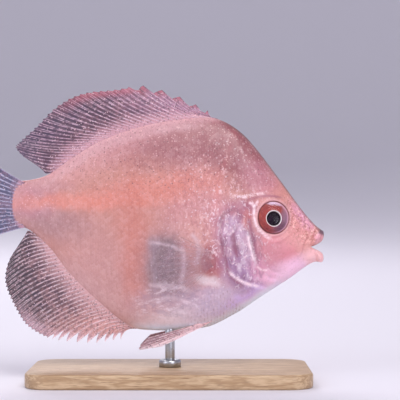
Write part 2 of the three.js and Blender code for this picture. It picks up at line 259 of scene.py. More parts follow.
@dataclass(frozen=True)
class EyePlace:
    """Where the right eye sits in the flesh. The left one mirrors it."""

    x: float = 21.3
    z: float = 34.05
    radius: float = 3.3
    narrow: float = 0.97
    rim_y: float = 4.42
    forward: float = 9.0
    upward: float = 5.0
    socket_depth: float = 2.3
    lid_height: float = 0.2
    lid_at: float = 1.09
    lid_half: float = 0.075


@dataclass(frozen=True)
class Flesh:
    """The outline of the fish's flesh, the same as in the solid model."""

    tail_end: float = -33.1
    tail_round: float = 2.6
    end_power: float = 2.3
    sink: float = 0.08
    mouth_level: float = 27.9
    mouth_corner: float = 29.05
    lip_x: float = 31.35
    mouth_half: float = 0.9
    lip_round: float = 0.75
    corner_round: float = 0.15
    throat_x: float = 26.2
    back: SmoothCurve = SmoothCurve((
        (-33.1, 41.7), (-29.1, 41.9), (-25.2, 43.1), (-20.8, 46.4), (-14.6, 50.2), (-6.2, 53.2),
        (2.1, 54.7), (8.3, 54.9), (12.5, 53.4), (16.6, 50.0), (22.9, 41.9), (28.1, 34.9),
        (32.2, 30.4),
    ))
    belly: SmoothCurve = SmoothCurve((
        (-33.1, 31.9), (-29.5, 31.5), (-25.0, 27.2), (-20.8, 21.6), (-14.6, 15.8), (-8.3, 11.3),
        (-3.0, 10.5), (3.0, 10.7), (8.3, 11.4), (14.6, 14.6), (19.1, 17.6), (25.0, 21.4),
        (29.5, 24.5), (32.2, 24.9),
    ))
    half_width: SmoothCurve = SmoothCurve((
        (-33.1, 0.9), (-28, 1.45), (-22, 2.2), (-14, 3.3), (-6, 4.3), (2, 5.0), (8, 5.4),
        (13, 5.6), (18, 5.25), (22, 4.55), (26, 3.5), (29, 2.65), (32.2, 1.75),
    ))
    level: SmoothCurve = SmoothCurve((
        (-33.1, 36.7), (-20, 35.8), (-8, 34.0), (4, 31.6), (14, 30.2), (21, 29.9), (26, 28.8),
        (28.3, 28.1), (32.2, 28.05),
    ))
    back_edge: SmoothCurve = SmoothCurve((
        (-33.1, 0.9), (-20, 1.25), (4, 1.3), (14, 1.05), (22, 0.95), (32.2, 0.8),
    ))
    belly_edge: SmoothCurve = SmoothCurve((
        (-33.1, 0.9), (-20, 1.25), (-6, 1.0), (4, 0.85), (14, 0.8), (32.2, 0.85),
    ))

    def point(self, x: Array, angle: Array) -> Array:
        """Points of the plain flesh, without folds.

        Args:
            x: Places along the fish in millimetres.
            angle: Angles round the body, 0 at the left side and a quarter turn at the back.

        Returns:
            The points in millimetres, one in each row.
        """
        up = np.sin(angle)
        across = np.cos(angle)
        level = self.level(x)
        reach = np.where(up > 0, self.back(x) - level, level - self.belly(x))
        edge = np.where(up > 0, self.back_edge(x), self.belly_edge(x))
        past = np.clip(1 - (x - self.tail_end) / self.tail_round, 0, 1)
        close = np.maximum(1 - past**self.end_power, 0) ** (1 / self.end_power)
        width = self.half_width(x) * np.abs(across) ** edge
        return np.stack(
            [x, np.sign(across) * width * close, level + reach * up * close], axis=-1
        )

    def normal(self, x: Array, angle: Array) -> Array:
        """Outward directions of the plain flesh.

        Args:
            x: Places along the fish in millimetres.
            angle: Angles round the body.

        Returns:
            Unit directions, one in each row.
        """
        step_x, step_a = 0.05, 0.012
        along = self.point(x + step_x, angle) - self.point(x - step_x, angle)
        around = self.point(x, angle + step_a) - self.point(x, angle - step_a)
        normal = np.cross(along, around)
        outward = np.stack([np.zeros_like(x), np.cos(angle), np.sin(angle)], axis=-1)
        normal *= np.sign(np.sum(normal * outward, axis=-1, keepdims=True))
        return normal / np.maximum(np.linalg.norm(normal, axis=-1, keepdims=True), 1e-9)


@dataclass(frozen=True)
class Relief:
    """The folds, ridges and plates of the fish's head, and its eye sockets."""

    eye: EyePlace = EyePlace()
    gill_edge: PlateEdge = PlateEdge(
        Stroke((
            (20.8, 19.2), (17.2, 20.1), (14.6, 21.0), (12.7, 22.8), (11.7, 25.2), (10.9, 28.3),
            (10.2, 31.6), (10.6, 34.2), (12.4, 35.5), (15.4, 35.6),
        )),
        proud=0.36, reach=3.2, groove=0.12,
    )
    preopercle: PlateEdge = PlateEdge(
        Stroke((
            (22.4, 20.9), (19.6, 21.8), (17.7, 24.6), (16.5, 29.6), (15.6, 33.6), (15.9, 35.6),
        )),
        proud=0.2, reach=1.6, groove=0.08,
    )
    creases: tuple[Crease, ...] = (
        Crease(Stroke(((19.1, 29.0), (18.9, 26.2), (20.3, 23.6), (23.0, 22.6))), -0.13, 0.3),
        Crease(Stroke(((16.3, 37.3), (17.2, 36.3), (17.3, 34.3), (17.6, 32.9), (18.3, 31.7),
                       (19.7, 30.4))), 0.2, 0.3),
        Crease(Stroke(((16.0, 30.6), (16.4, 28.6), (16.8, 27.0), (17.4, 25.0))), 0.14, 0.3),
        Crease(Stroke(((13.6, 32.6), (14.0, 29.6), (14.6, 26.6), (15.4, 24.4))), 0.12, 0.5),
        Crease(Stroke(((12.0, 31.0), (12.5, 28.4), (13.2, 26.0), (14.2, 24.0))), -0.1, 0.4),
        Crease(Stroke(((15.2, 38.3), (19.1, 38.9), (22.6, 38.6), (24.8, 37.9))), -0.12, 0.3),
        Crease(Stroke(((20.6, 28.9), (23.2, 29.6), (25.6, 31.6), (26.6, 33.4))), 0.08, 0.4),
        Crease(Stroke(((27.4, 26.6), (27.9, 28.6), (29.0, 30.6), (29.7, 32.2))), -0.12, 0.34),
        Crease(Stroke(((30.3, 31.4), (29.9, 30.2), (29.6, 29.2), (29.3, 28.2))), -0.22, 0.26),
        Crease(Stroke(((29.3, 27.7), (29.8, 26.8), (30.2, 25.9), (30.3, 24.8))), -0.16, 0.3),
        Crease(Stroke(((27.2, 25.3), (28.2, 25.0), (29.2, 24.9), (30.0, 25.3))), -0.07, 0.35),
        Crease(Stroke(((26.2, 26.0), (27.2, 27.2), (27.5, 28.8), (28.3, 30.6))), 0.16, 0.3),
        Crease(Stroke(((26.4, 25.2), (24.2, 23.4), (21.6, 21.4), (18.6, 19.4))), -0.05, 0.35),
        Crease(Stroke(((17.8, 19.6), (14.8, 18.2), (12.4, 18.6), (10.4, 20.4))), -0.08, 0.5),
        Crease(Stroke(((10.6, 36.6), (5.6, 40.6), (-1.6, 43.6), (-8.6, 44.2), (-15.6, 42.8),
                       (-20.6, 40.6))), -0.05, 0.3),
    )
    pale: tuple[tuple[Stroke, float], ...] = (
        (Stroke(((16.3, 37.3), (17.2, 36.3), (17.3, 34.3), (17.6, 32.9), (18.3, 31.7),
                 (19.7, 30.4), (21.0, 29.4))), 0.27),
        (Stroke(((16.0, 30.8), (16.4, 28.6), (16.8, 27.0), (17.5, 24.8))), 0.32),
        (Stroke(((11.9, 23.2), (13.4, 21.9), (15.0, 20.9), (16.8, 20.2), (18.8, 19.8))), 0.26),
        (Stroke(((16.2, 37.3), (17.2, 36.5), (18.2, 37.4))), 0.2),
        (Stroke(((14.4, 38.0), (17.0, 38.7), (19.6, 39.0))), 0.17),
        (Stroke(((11.2, 32.6), (11.5, 30.9), (12.6, 30.8), (13.6, 32.4))), 0.16),
        (Stroke(((17.8, 24.2), (18.8, 23.4), (20.2, 23.2))), 0.15),
        (Stroke(((7.6, 26.5), (8.4, 27.0), (9.2, 26.9), (9.8, 26.3))), 0.2),
        (Stroke(((8.7, 26.8), (8.5, 26.0), (9.0, 25.4))), 0.16),
    )
    shade: tuple[tuple[Stroke, float], ...] = (
        (Stroke(((16.0, 34.6), (16.7, 31.4), (17.3, 28.2), (18.2, 24.6))), 0.42),
        (Stroke(((15.4, 37.6), (17.4, 38.1), (20.0, 38.5), (23.4, 38.1))), 0.26),
        (Stroke(((10.4, 31.8), (10.7, 28.4), (11.5, 25.2), (12.3, 22.2), (15.6, 20.0))), 0.34),
        (Stroke(((13.0, 31.4), (13.3, 28.4), (14.0, 25.6))), 0.4),
    )
    faint: tuple[tuple[Stroke, float], ...] = (
        (Stroke(((-4.4, 29.0), (-2.0, 28.7), (0.6, 28.2), (3.0, 26.9))), 0.28),
        (Stroke(((2.4, 28.6), (2.9, 26.0), (2.8, 23.0), (2.2, 20.0))), 0.42),
        (Stroke(((-4.6, 20.4), (-1.6, 19.8), (1.4, 19.9), (4.6, 18.6))), 0.4),
        (Stroke(((4.2, 31.0), (5.6, 29.2), (6.0, 26.6), (5.2, 24.0))), 0.45),
        (Stroke(((-3.4, 16.6), (-0.6, 17.6), (2.2, 17.2), (4.6, 16.2))), 0.3),
    )
    nostril_x: float = 26.9
    nostril_z: float = 34.4
    nostril_low: float = 0.8
    nostril_rim: float = 0.12
    nostril_depth: float = 0.42

    def lift(self, x: Array, z: Array) -> Array:
        """How far the skin is raised at places on the fish's side.

        Args:
            x: Places along the fish in millimetres.
            z: Their heights.

        Returns:
            The rise in millimetres.
        """
        total = self.gill_edge.lift(x, z) + self.preopercle.lift(x, z)
        for crease in self.creases:
            total = total + crease.lift(x, z)
        total = total + self.nostril(x, z)
        away = self.from_eye(x, z)
        lid = self.eye.lid_height * bell((away - self.eye.lid_at) / self.eye.lid_half)
        return total * smooth(1.0, 1.12, away) + lid

    def from_eye(self, x: Array, z: Array) -> Array:
        """Distance from the eye's middle, 1 at the iris's edge."""
        return np.hypot((x - self.eye.x) / self.eye.narrow, z - self.eye.z) / self.eye.radius

    def nostril(self, x: Array, z: Array) -> Array:
        """The nostril's pit and its raised rim."""
        away = np.hypot(x - self.nostril_x, (z - self.nostril_z) / self.nostril_low)
        rim = self.nostril_rim * bell((away - 0.62) / 0.22)
        return rim - self.nostril_depth * bell(away / 0.34)

    def socket(self, x: Array, z: Array) -> Array:
        """How deep the eye's socket is, in millimetres."""
        away = np.minimum(self.from_eye(x, z), 1)
        return self.eye.socket_depth * np.sqrt(1 - away**2)


@dataclass(frozen=True)
class SkinForm:
    """The finished surface of the fish's skin, folds included."""

    flesh: Flesh = Flesh()
    relief: Relief = Relief()

    def at(self, x: Array, angle: Array, lift: Array | float = 0.0) -> Array:
        """Points on the skin behind the lips.

        Args:
            x: Places along the fish in millimetres.
            angle: Angles round the body.
            lift: Height above the skin in millimetres.

        Returns:
            The points in millimetres.
        """
        base = self.flesh.point(x, angle)
        normal = self.flesh.normal(x, angle)
        flat = np.abs(np.cos(angle))
        fade = smooth(0.0, 0.3, flat)
        height = self.relief.lift(x, base[..., 2]) * fade - self.flesh.sink + lift
        out = base + normal * height[..., None]
        deep = self.relief.socket(x, base[..., 2])
        out[..., 1] -= np.sign(out[..., 1]) * deep * (flat > 0.2)
        return out

    def marks(self, x: Array, z: Array) -> dict[str, Array]:
        """Numbers that the skin's and the scales' paint reads.

        Args:
            x: Places along the fish in millimetres.
            z: Their heights.

        Returns:
            Millimetres below the back and above the belly, distance from the eye, and how much of
            a pale bony ridge, of a shaded groove and of a faint streak each place is.
        """
        return {
            "from_back": self.flesh.back(x) - z,
            "from_belly": z - self.flesh.belly(x),
            "from_eye": self.relief.from_eye(x, z),
            "bony": self.drawn(self.relief.pale, x, z),
            "shade": self.drawn(self.relief.shade, x, z),
            "faint": self.drawn(self.relief.faint, x, z),
        }

    def drawn(self, strokes: tuple[tuple[Stroke, float], ...], x: Array, z: Array) -> Array:
        """How much of a soft-edged stroke each place is.

        Args:
            strokes: The strokes with their half widths in millimetres.
            x: Places along the fish.
            z: Their heights.

        Returns:
            1 on a stroke's middle, falling to 0 away from it and at its ends.
        """
        most = np.zeros_like(x)
        for stroke, width in strokes:
            distance, _, along = stroke.measure(x, z)
            most = np.maximum(most, bell(distance / width) * tapered(along, 0.15))
        return most


def new_object(name: str, mesh: bpy.types.Mesh) -> bpy.types.Object:
    """Puts a mesh in the scene as an object at the origin that rides on the fish's one body.

    Args:
        name: The piece's name.
        mesh: Its mesh.

    Returns:
        The new object.
    """
    piece = bpy.data.objects.new(name, mesh)
    bpy.context.scene.collection.objects.link(piece)
    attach(piece, "root")
    return piece


def mesh_from(shape: bmesh.types.BMesh, name: str, turn_out: bool = True) -> bpy.types.Mesh:
    """Turns a bmesh into a smooth-shaded mesh.

    Args:
        shape: The bmesh, which is freed.
        name: The mesh's name.
        turn_out: Whether faces are first made to point outwards.

    Returns:
        The mesh.
    """
    if turn_out:
        bmesh.ops.recalc_face_normals(shape, faces=shape.faces)
    mesh = bpy.data.meshes.new(name)
    shape.to_mesh(mesh)
    shape.free()
    mesh.polygons.foreach_set("use_smooth", [True] * len(mesh.polygons))
    return mesh
def spun(profile: Line, steps: int, unit: float = MM) -> bmesh.types.BMesh:
    """Spins a profile once round the Z axis.

    Args:
        profile: Radius and height of each point.
        steps: How many steps the turn has.
        unit: The profile's unit, in metres.

    Returns:
        The shape.
    """
    shape = bmesh.new()
    line = [shape.verts.new((radius * unit, 0, height * unit)) for radius, height in profile]
    edges = [shape.edges.new(pair) for pair in zip(line, line[1:])]
    bmesh.ops.spin(
        shape, geom=[*line, *edges], cent=(0, 0, 0), axis=(0, 0, 1), angle=math.tau, steps=steps,
        use_merge=True,
    )
    bmesh.ops.remove_doubles(shape, verts=shape.verts[:], dist=1e-7)
    bmesh.ops.recalc_face_normals(shape, faces=shape.faces[:])
    return shape


def round_off(shape: bmesh.types.BMesh, edges: list[bmesh.types.BMEdge], offset: float,
              segments: int) -> None:
    """Rounds a shape's edges from an offset in millimetres, in so many segments."""
    bmesh.ops.bevel(
        shape, geom=edges, offset=offset * MM, affect="EDGES", segments=segments, profile=0.5,
        material=-1,
    )


def rise(edge: bmesh.types.BMEdge) -> float:
    """How far one end of an edge is above the other, in millimetres."""
    return abs(edge.verts[0].co.z - edge.verts[1].co.z) / MM

def read_places(mesh: bpy.types.Mesh) -> Array:
    """The places of a mesh's vertices, one in each row."""
    flat = np.empty(len(mesh.vertices) * 3)
    mesh.vertices.foreach_get("co", flat)
    return flat.reshape(-1, 3)


def write_places(mesh: bpy.types.Mesh, places: Array) -> None:
    """Moves a mesh's vertices to new places in metres, one in each row."""
    mesh.vertices.foreach_set("co", places.astype(np.float32).ravel())
    mesh.update()


def point_outwards(mesh: bpy.types.Mesh) -> None:
    """Makes a moved mesh's faces point outwards again."""
    shape = bmesh.new()
    shape.from_mesh(mesh)
    bmesh.ops.recalc_face_normals(shape, faces=shape.faces)
    shape.to_mesh(mesh)
    shape.free()


def add_number(mesh: bpy.types.Mesh, name: str, values: Array) -> None:
    """Gives each vertex of a mesh a named number that its material can read."""
    layer = mesh.attributes.new(name, "FLOAT", "POINT")
    layer.data.foreach_set("value", values.astype(np.float32).ravel())


def add_map(mesh: bpy.types.Mesh, name: str, places: Array) -> None:
    """Gives a mesh a UV map from one place for each vertex.

    Args:
        mesh: The mesh.
        name: The map's name.
        places: Places on the map, one row for each vertex.
    """
    corners = np.empty(len(mesh.loops), int)
    mesh.loops.foreach_get("vertex_index", corners)
    layer = mesh.uv_layers.new(name=name)
    layer.data.foreach_set("uv", places[corners].astype(np.float32).ravel())


Socket = bpy.types.NodeSocket
Feed = Socket | float | tuple


@dataclass(frozen=True)
class Grain:
    """A fine pattern in one colour: noise, cut off softly between two levels."""

    scale: float
    detail: float
    rough: float
    low: float
    high: float
    share: float
    colour: Colour


@dataclass(frozen=True)
class Dots:
    """Scattered dots in one colour, with noise that leaves some of them out."""

    scale: float
    outer: float
    inner: float
    gap_scale: float
    gap_detail: float
    gap_low: float
    gap_high: float
    share: float
    colour: Colour


@dataclass(frozen=True)
class Oval:
    """An oval on the fish's side, in millimetres and degrees.

    Turn is how far its front end is turned up, and soft is its edge's width as a share of its size.
    """

    x: float
    z: float
    half_length: float
    half_height: float
    turn: float
    soft: float


@dataclass(frozen=True)
class Patch(Oval):
    """A soft area of colour on the fish's side."""

    colour: Colour
    strength: float


class Finish:
    """A material's node tree, with short words for the nodes that it needs."""

    def __init__(self, name: str) -> None:
        """Starts a material with one Principled shader.

        Args:
            name: The material's name.
        """
        self.material = bpy.data.materials.new(name)
        self.material.use_nodes = True
        self.tree = self.material.node_tree
        self.tree.nodes.clear()
        self.shader = self.tree.nodes.new("ShaderNodeBsdfPrincipled")
        self.output = self.tree.nodes.new("ShaderNodeOutputMaterial")
        self.tree.links.new(self.shader.outputs[0], self.output.inputs["Surface"])
        self.place = self.tree.nodes.new("ShaderNodeTexCoord").outputs["Object"]

    def feed(self, socket: Socket, value: Feed) -> None:
        """Links a socket to another one, or sets it."""
        if isinstance(value, bpy.types.NodeSocket):
            self.tree.links.new(value, socket)
        else:
            socket.default_value = value

    def set(self, **values: Feed) -> None:
        """Sets the shader's inputs, named with underscores for spaces."""
        for name, value in values.items():
            self.feed(self.shader.inputs[name.replace("_", " ")], value)

    def math(self, operation: str, a: Feed, b: Feed = 0.0) -> Socket:
        """One sum of two numbers.

        Args:
            operation: The Math node's operation.
            a: The first number.
            b: The second number.

        Returns:
            The result.
        """
        node = self.tree.nodes.new("ShaderNodeMath")
        node.operation = operation
        self.feed(node.inputs[0], a)
        self.feed(node.inputs[1], b)
        return node.outputs[0]

    def times(self, *factors: Feed) -> Feed:
        """The product of two or more numbers."""
        product = factors[0]
        for factor in factors[1:]:
            product = self.math("MULTIPLY", product, factor)
        return product

    def scaled(self, value: Feed, by: float, plus: float) -> Socket:
        """A number times one number, plus another."""
        return self.math("ADD", self.times(value, by), plus)

    def mix(self, share: Feed, a: Feed, b: Feed) -> Socket:
        """A mix of two colours.

        Args:
            share: How much of the second colour there is.
            a: The first colour.
            b: The second colour.

        Returns:
            The mixed colour.
        """
        node = self.tree.nodes.new("ShaderNodeMix")
        node.data_type = "RGBA"
        self.feed(node.inputs[0], share)
        self.feed(node.inputs[6], a)
        self.feed(node.inputs[7], b)
        return node.outputs[2]

    def stain(self, colour: Feed, mask: Feed, share: float, new: Feed) -> Socket:
        """Lays a second colour over the first.

        Args:
            colour: The colour so far.
            mask: Where the second colour lies, from 0 to 1.
            share: How much of it there is where the mask is 1.
            new: The second colour.

        Returns:
            The stained colour.
        """
        return self.mix(self.times(mask, share), colour, new)

    def between(self, value: Feed, low: float, high: float) -> Socket:
        """A smooth rise from 0 at low to 1 at high, or a fall where low is the higher.

        Args:
            value: The number to read.
            low: Where the result is 0.
            high: Where the result is 1.

        Returns:
            The result.
        """
        node = self.tree.nodes.new("ShaderNodeMapRange")
        node.interpolation_type = "SMOOTHSTEP"
        rising = high > low
        self.feed(node.inputs["Value"], value)
        node.inputs["From Min"].default_value = min(low, high)
        node.inputs["From Max"].default_value = max(low, high)
        node.inputs["To Min"].default_value = 0.0 if rising else 1.0
        node.inputs["To Max"].default_value = 1.0 if rising else 0.0
        return node.outputs["Result"]

    def between_mm(self, value: Feed, low: float, high: float) -> Socket:
        """The same with low and high in millimetres, for a place in metres."""
        return self.between(value, low * MM, high * MM)

    def noise(self, scale: float, detail: float = 3.0, rough: float = 0.5,
              at: Feed | None = None) -> Socket:
        """Smooth noise.

        Args:
            scale: How many cells fit in a metre.
            detail: How many finer layers it has.
            rough: How strong the finer layers are.
            at: Where it is read, or None for the piece's own space.

        Returns:
            The noise's value.
        """
        node = self.tree.nodes.new("ShaderNodeTexNoise")
        self.feed(node.inputs["Vector"], self.place if at is None else at)
        node.inputs["Scale"].default_value = scale
        node.inputs["Detail"].default_value = detail
        node.inputs["Roughness"].default_value = rough
        return node.outputs["Fac"]

    def grain(self, colour: Feed, kind: Grain, where: Feed = 1.0) -> Socket:
        """Lays a fine pattern over a colour.

        Args:
            colour: The colour so far.
            kind: The pattern.
            where: How much of it each place has, from 0 to 1.

        Returns:
            The colour with the pattern.
        """
        level = self.noise(kind.scale, kind.detail, kind.rough)
        mask = self.between(level, kind.low, kind.high)
        return self.stain(colour, self.times(mask, where), kind.share, kind.colour)

    def from_dots(self, scale: float) -> Socket:
        """Distance to the nearest of many scattered points, scale of them in a metre."""
        node = self.tree.nodes.new("ShaderNodeTexVoronoi")
        self.feed(node.inputs["Vector"], self.place)
        node.inputs["Scale"].default_value = scale
        return node.outputs["Distance"]

    def dotted(self, colour: Feed, kind: Dots, where: Feed = 1.0) -> Socket:
        """Scatters dots over a colour.

        Args:
            colour: The colour so far.
            kind: The dots.
            where: How much of them each place has, from 0 to 1.

        Returns:
            The colour with the dots.
        """
        dot = self.between(self.from_dots(kind.scale), kind.outer, kind.inner)
        level = self.noise(kind.gap_scale, kind.gap_detail)
        kept = self.between(level, kind.gap_low, kind.gap_high)
        return self.stain(colour, self.times(dot, kept, where), kind.share, kind.colour)

    def stretched(self, scale: tuple, turn: tuple = (0, 0, 0), at: Feed | None = None) -> Socket:
        """The piece's own space, or another place, stretched and turned."""
        node = self.tree.nodes.new("ShaderNodeMapping")
        self.feed(node.inputs["Vector"], self.place if at is None else at)
        node.inputs["Scale"].default_value = scale
        node.inputs["Rotation"].default_value = turn
        return node.outputs[0]

    def vector(self, operation: str, a: Feed, b: Feed | None = None) -> bpy.types.Node:
        """A Vector Math node.

        Args:
            operation: The node's operation.
            a: The first vector.
            b: The second vector, or None where there is one only.

        Returns:
            The node.
        """
        node = self.tree.nodes.new("ShaderNodeVectorMath")
        node.operation = operation
        self.feed(node.inputs[0], a)
        if b is not None:
            self.feed(node.inputs[1], b)
        return node

    def shifted(self, amount: float, scale: float) -> Socket:
        """The piece's own space, wobbled by noise so that edges look grown.

        Args:
            amount: How far places move, in metres.
            scale: The noise's scale.

        Returns:
            The wobbled place.
        """
        noise = self.tree.nodes.new("ShaderNodeTexNoise")
        self.feed(noise.inputs["Vector"], self.place)
        noise.inputs["Scale"].default_value = scale
        noise.inputs["Detail"].default_value = 2.0
        centred = self.vector("SUBTRACT", noise.outputs["Color"], (0.5, 0.5, 0.5))
        moved = self.vector("SCALE", centred.outputs[0])
        moved.inputs["Scale"].default_value = 2 * amount
        return self.vector("ADD", self.place, moved.outputs[0]).outputs[0]

    def part(self, vector: Socket, axis: str) -> Socket:
        """One axis of a place."""
        node = self.tree.nodes.new("ShaderNodeSeparateXYZ")
        self.feed(node.inputs[0], vector)
        return node.outputs[axis]

    def number(self, name: str) -> Socket:
        """A number that the mesh's vertices carry."""
        node = self.tree.nodes.new("ShaderNodeAttribute")
        node.attribute_name = name
        return node.outputs["Fac"]

    def own_map(self, name: str) -> Socket:
        """A place on one of the mesh's own UV maps."""
        node = self.tree.nodes.new("ShaderNodeUVMap")
        node.uv_map = name
        return node.outputs["UV"]

    def bump(self, height: Feed, distance: float, strength: float) -> Socket:
        """A bumped surface direction.

        Args:
            height: The bump's height.
            distance: The height in metres that 1 stands for.
            strength: How strong the bump is.

        Returns:
            The direction, for the shader's Normal.
        """
        node = self.tree.nodes.new("ShaderNodeBump")
        self.feed(node.inputs["Height"], height)
        node.inputs["Distance"].default_value = distance
        node.inputs["Strength"].default_value = strength
        return node.outputs[0]

    def oval(self, shape: Oval, at: Socket | None = None) -> Socket:
        """A soft-edged oval on the fish's side.

        Args:
            shape: Its place, size and edge.
            at: Where it is read, or None for the piece's own space.

        Returns:
            1 inside and 0 outside.
        """
        node = self.tree.nodes.new("ShaderNodeMapping")
        node.vector_type = "TEXTURE"
        self.feed(node.inputs["Vector"], self.place if at is None else at)
        node.inputs["Location"].default_value = (shape.x * MM, 0, shape.z * MM)
        node.inputs["Rotation"].default_value = (0, -math.radians(shape.turn), 0)
        node.inputs["Scale"].default_value = (
            shape.half_length * MM, NO_SQUEEZE, shape.half_height * MM
        )
        length = self.vector("LENGTH", node.outputs[0]).outputs["Value"]
        return self.between(length, 1 + shape.soft, max(1 - shape.soft, 0.0))


PATCHES = (
    Patch(6.0, 50.5, 22, 6.5, 0, 0.5, srgb(146, 82, 94), 0.84),
    Patch(-16, 47.5, 14, 4.0, 24, 0.6, srgb(206, 146, 150), 0.6),
    Patch(-14, 22.0, 9, 8.0, -40, 0.6, srgb(202, 150, 150), 0.6),
    # Painted light: a lighter band along the lower flank, where the flank turns down into shade.
    Patch(-15.5, 17.2, 9.5, 2.8, -39, 0.7, srgb(212, 162, 162), 0.75),
    Patch(6.2, 34.5, 7, 9.0, 0, 0.6, srgb(206, 140, 146), 0.7),
    # The next three patches darken the rear body and the tail stalk: painted shade, where the light
    # falls off toward the tail.
    Patch(-25, 33.4, 8, 3.4, -8, 0.9, srgb(164, 124, 130), 0.75),
    Patch(-26, 40.6, 6, 1.4, 0, 0.6, srgb(186, 130, 134), 0.6),
    Patch(-28.5, 37.2, 5.4, 3.2, 0, 0.5, srgb(190, 132, 142), 0.9),
    Patch(-17.5, 37.5, 15, 1.5, 1, 0.8, srgb(226, 138, 122), 0.85),
    Patch(-3.5, 39.8, 12, 2.6, 9, 0.8, srgb(218, 128, 112), 0.75),
    Patch(-7.0, 27.6, 3.1, 13.5, 4, 0.8, srgb(204, 116, 102), 0.65),
    Patch(0.2, 23.0, 5.6, 8.4, 8, 0.6, srgb(168, 128, 134), 0.85),
    Patch(5.0, 30.6, 3.4, 3.4, 0, 0.8, srgb(218, 158, 150), 0.7),
    Patch(1.2, 16.2, 8.0, 3.2, 2, 0.7, srgb(196, 166, 182), 0.85),
    Patch(-6.0, 13.2, 5.0, 2.6, 24, 0.7, srgb(206, 160, 160), 0.7),
    Patch(6.6, 12.6, 12, 3.0, 8, 0.6, srgb(244, 224, 230), 0.95),
    Patch(11.6, 17.0, 8.6, 4.8, 30, 0.6, srgb(206, 182, 206), 0.95),
    Patch(19.2, 19.0, 8.0, 2.4, 32, 0.6, srgb(212, 178, 234), 0.92),
    Patch(8.8, 25.0, 2.1, 2.8, 8, 0.6, srgb(160, 62, 78), 0.88),
    # Painted highlight: a pale grey-white spot below the pectoral fin's root.
    Patch(7.7, 21.2, 2.3, 1.0, -12, 0.7, srgb(234, 216, 222), 0.8),
    Patch(14.2, 28.0, 4.4, 8.4, 14, 0.5, srgb(164, 122, 150), 0.92),
    Patch(15.2, 23.2, 4.6, 3.2, -24, 0.6, srgb(158, 122, 162), 0.9),
    Patch(19.6, 23.6, 3.6, 2.4, -20, 0.7, srgb(214, 160, 194), 0.8),
    Patch(12.9, 31.4, 2.1, 2.4, 0, 0.6, srgb(212, 174, 204), 0.6),
    Patch(15.3, 28.4, 0.9, 3.8, 10, 0.6, srgb(204, 174, 196), 0.6),
    Patch(21.8, 22.3, 4.4, 2.0, 14, 0.7, srgb(228, 174, 208), 0.85),
    Patch(15.5, 36.0, 2.9, 1.8, 0, 0.6, srgb(156, 88, 112), 0.85),
    Patch(16.0, 33.4, 0.9, 1.6, 10, 0.6, srgb(196, 104, 100), 0.7),
    Patch(22.2, 26.4, 4.4, 4.8, -20, 0.6, srgb(210, 126, 142), 0.9),
    Patch(13.8, 47.4, 8.0, 4.6, -50, 0.7, srgb(134, 56, 70), 0.94),
    Patch(18.6, 41.8, 4.5, 3.0, -50, 0.7, srgb(196, 124, 144), 0.6),
    Patch(26.6, 32.4, 5.0, 4.2, -50, 0.6, srgb(216, 144, 144), 0.9),
    Patch(27.6, 34.6, 3.4, 1.5, -48, 0.7, srgb(224, 166, 204), 0.6),
    Patch(25.8, 23.3, 5.8, 2.3, 22, 0.7, srgb(248, 202, 228), 0.92),
    Patch(31.0, 29.7, 1.0, 1.1, 0, 0.5, srgb(226, 160, 176), 0.85),
    Patch(30.6, 26.0, 2.4, 1.5, 10, 0.6, srgb(250, 196, 196), 0.85),
)


@dataclass(frozen=True)
class Areas:
    """The areas of the fish's side that carry marks of their own."""

    gill_cover: Oval = Oval(14.4, 27.6, 4.6, 8.6, 14, 0.35)
    gill_foot: Oval = Oval(16.2, 22.6, 4.0, 2.6, -16, 0.4)
    gill_lumps: Oval = Oval(14.4, 27.6, 5.6, 9.6, 14, 0.4)
    highlight_veined: Oval = Oval(13.6, 30.0, 6.6, 10.6, 14, 0.35)
    snout: Oval = Oval(27.4, 33.2, 5.6, 3.4, -50, 0.5)
    forehead: Oval = Oval(25, 36, 8, 5, -52, 0.5)
    lip_tip: Oval = Oval(31.6, 31.0, 0.85, 0.55, 0, 0.5)
    behind_head: Oval = Oval(8.5, 36.0, 9.0, 11.5, 0, 0.6)
    nape: Oval = Oval(15.4, 44.0, 10.5, 5.4, -50, 0.5)
    lower_side: Oval = Oval(8.0, 21.0, 12, 8.0, 0, 0.5)
    back: Oval = Oval(0, 49.0, 32, 10.0, 0, 0.5)
    stalk: Oval = Oval(-29.0, 37.0, 5.0, 6.5, 0, 0.5)
    breast: Oval = Oval(11.0, 16.8, 8.0, 5.0, 32, 0.5)
    low_belly: Oval = Oval(1.2, 16.8, 8.0, 3.8, 6, 0.5)


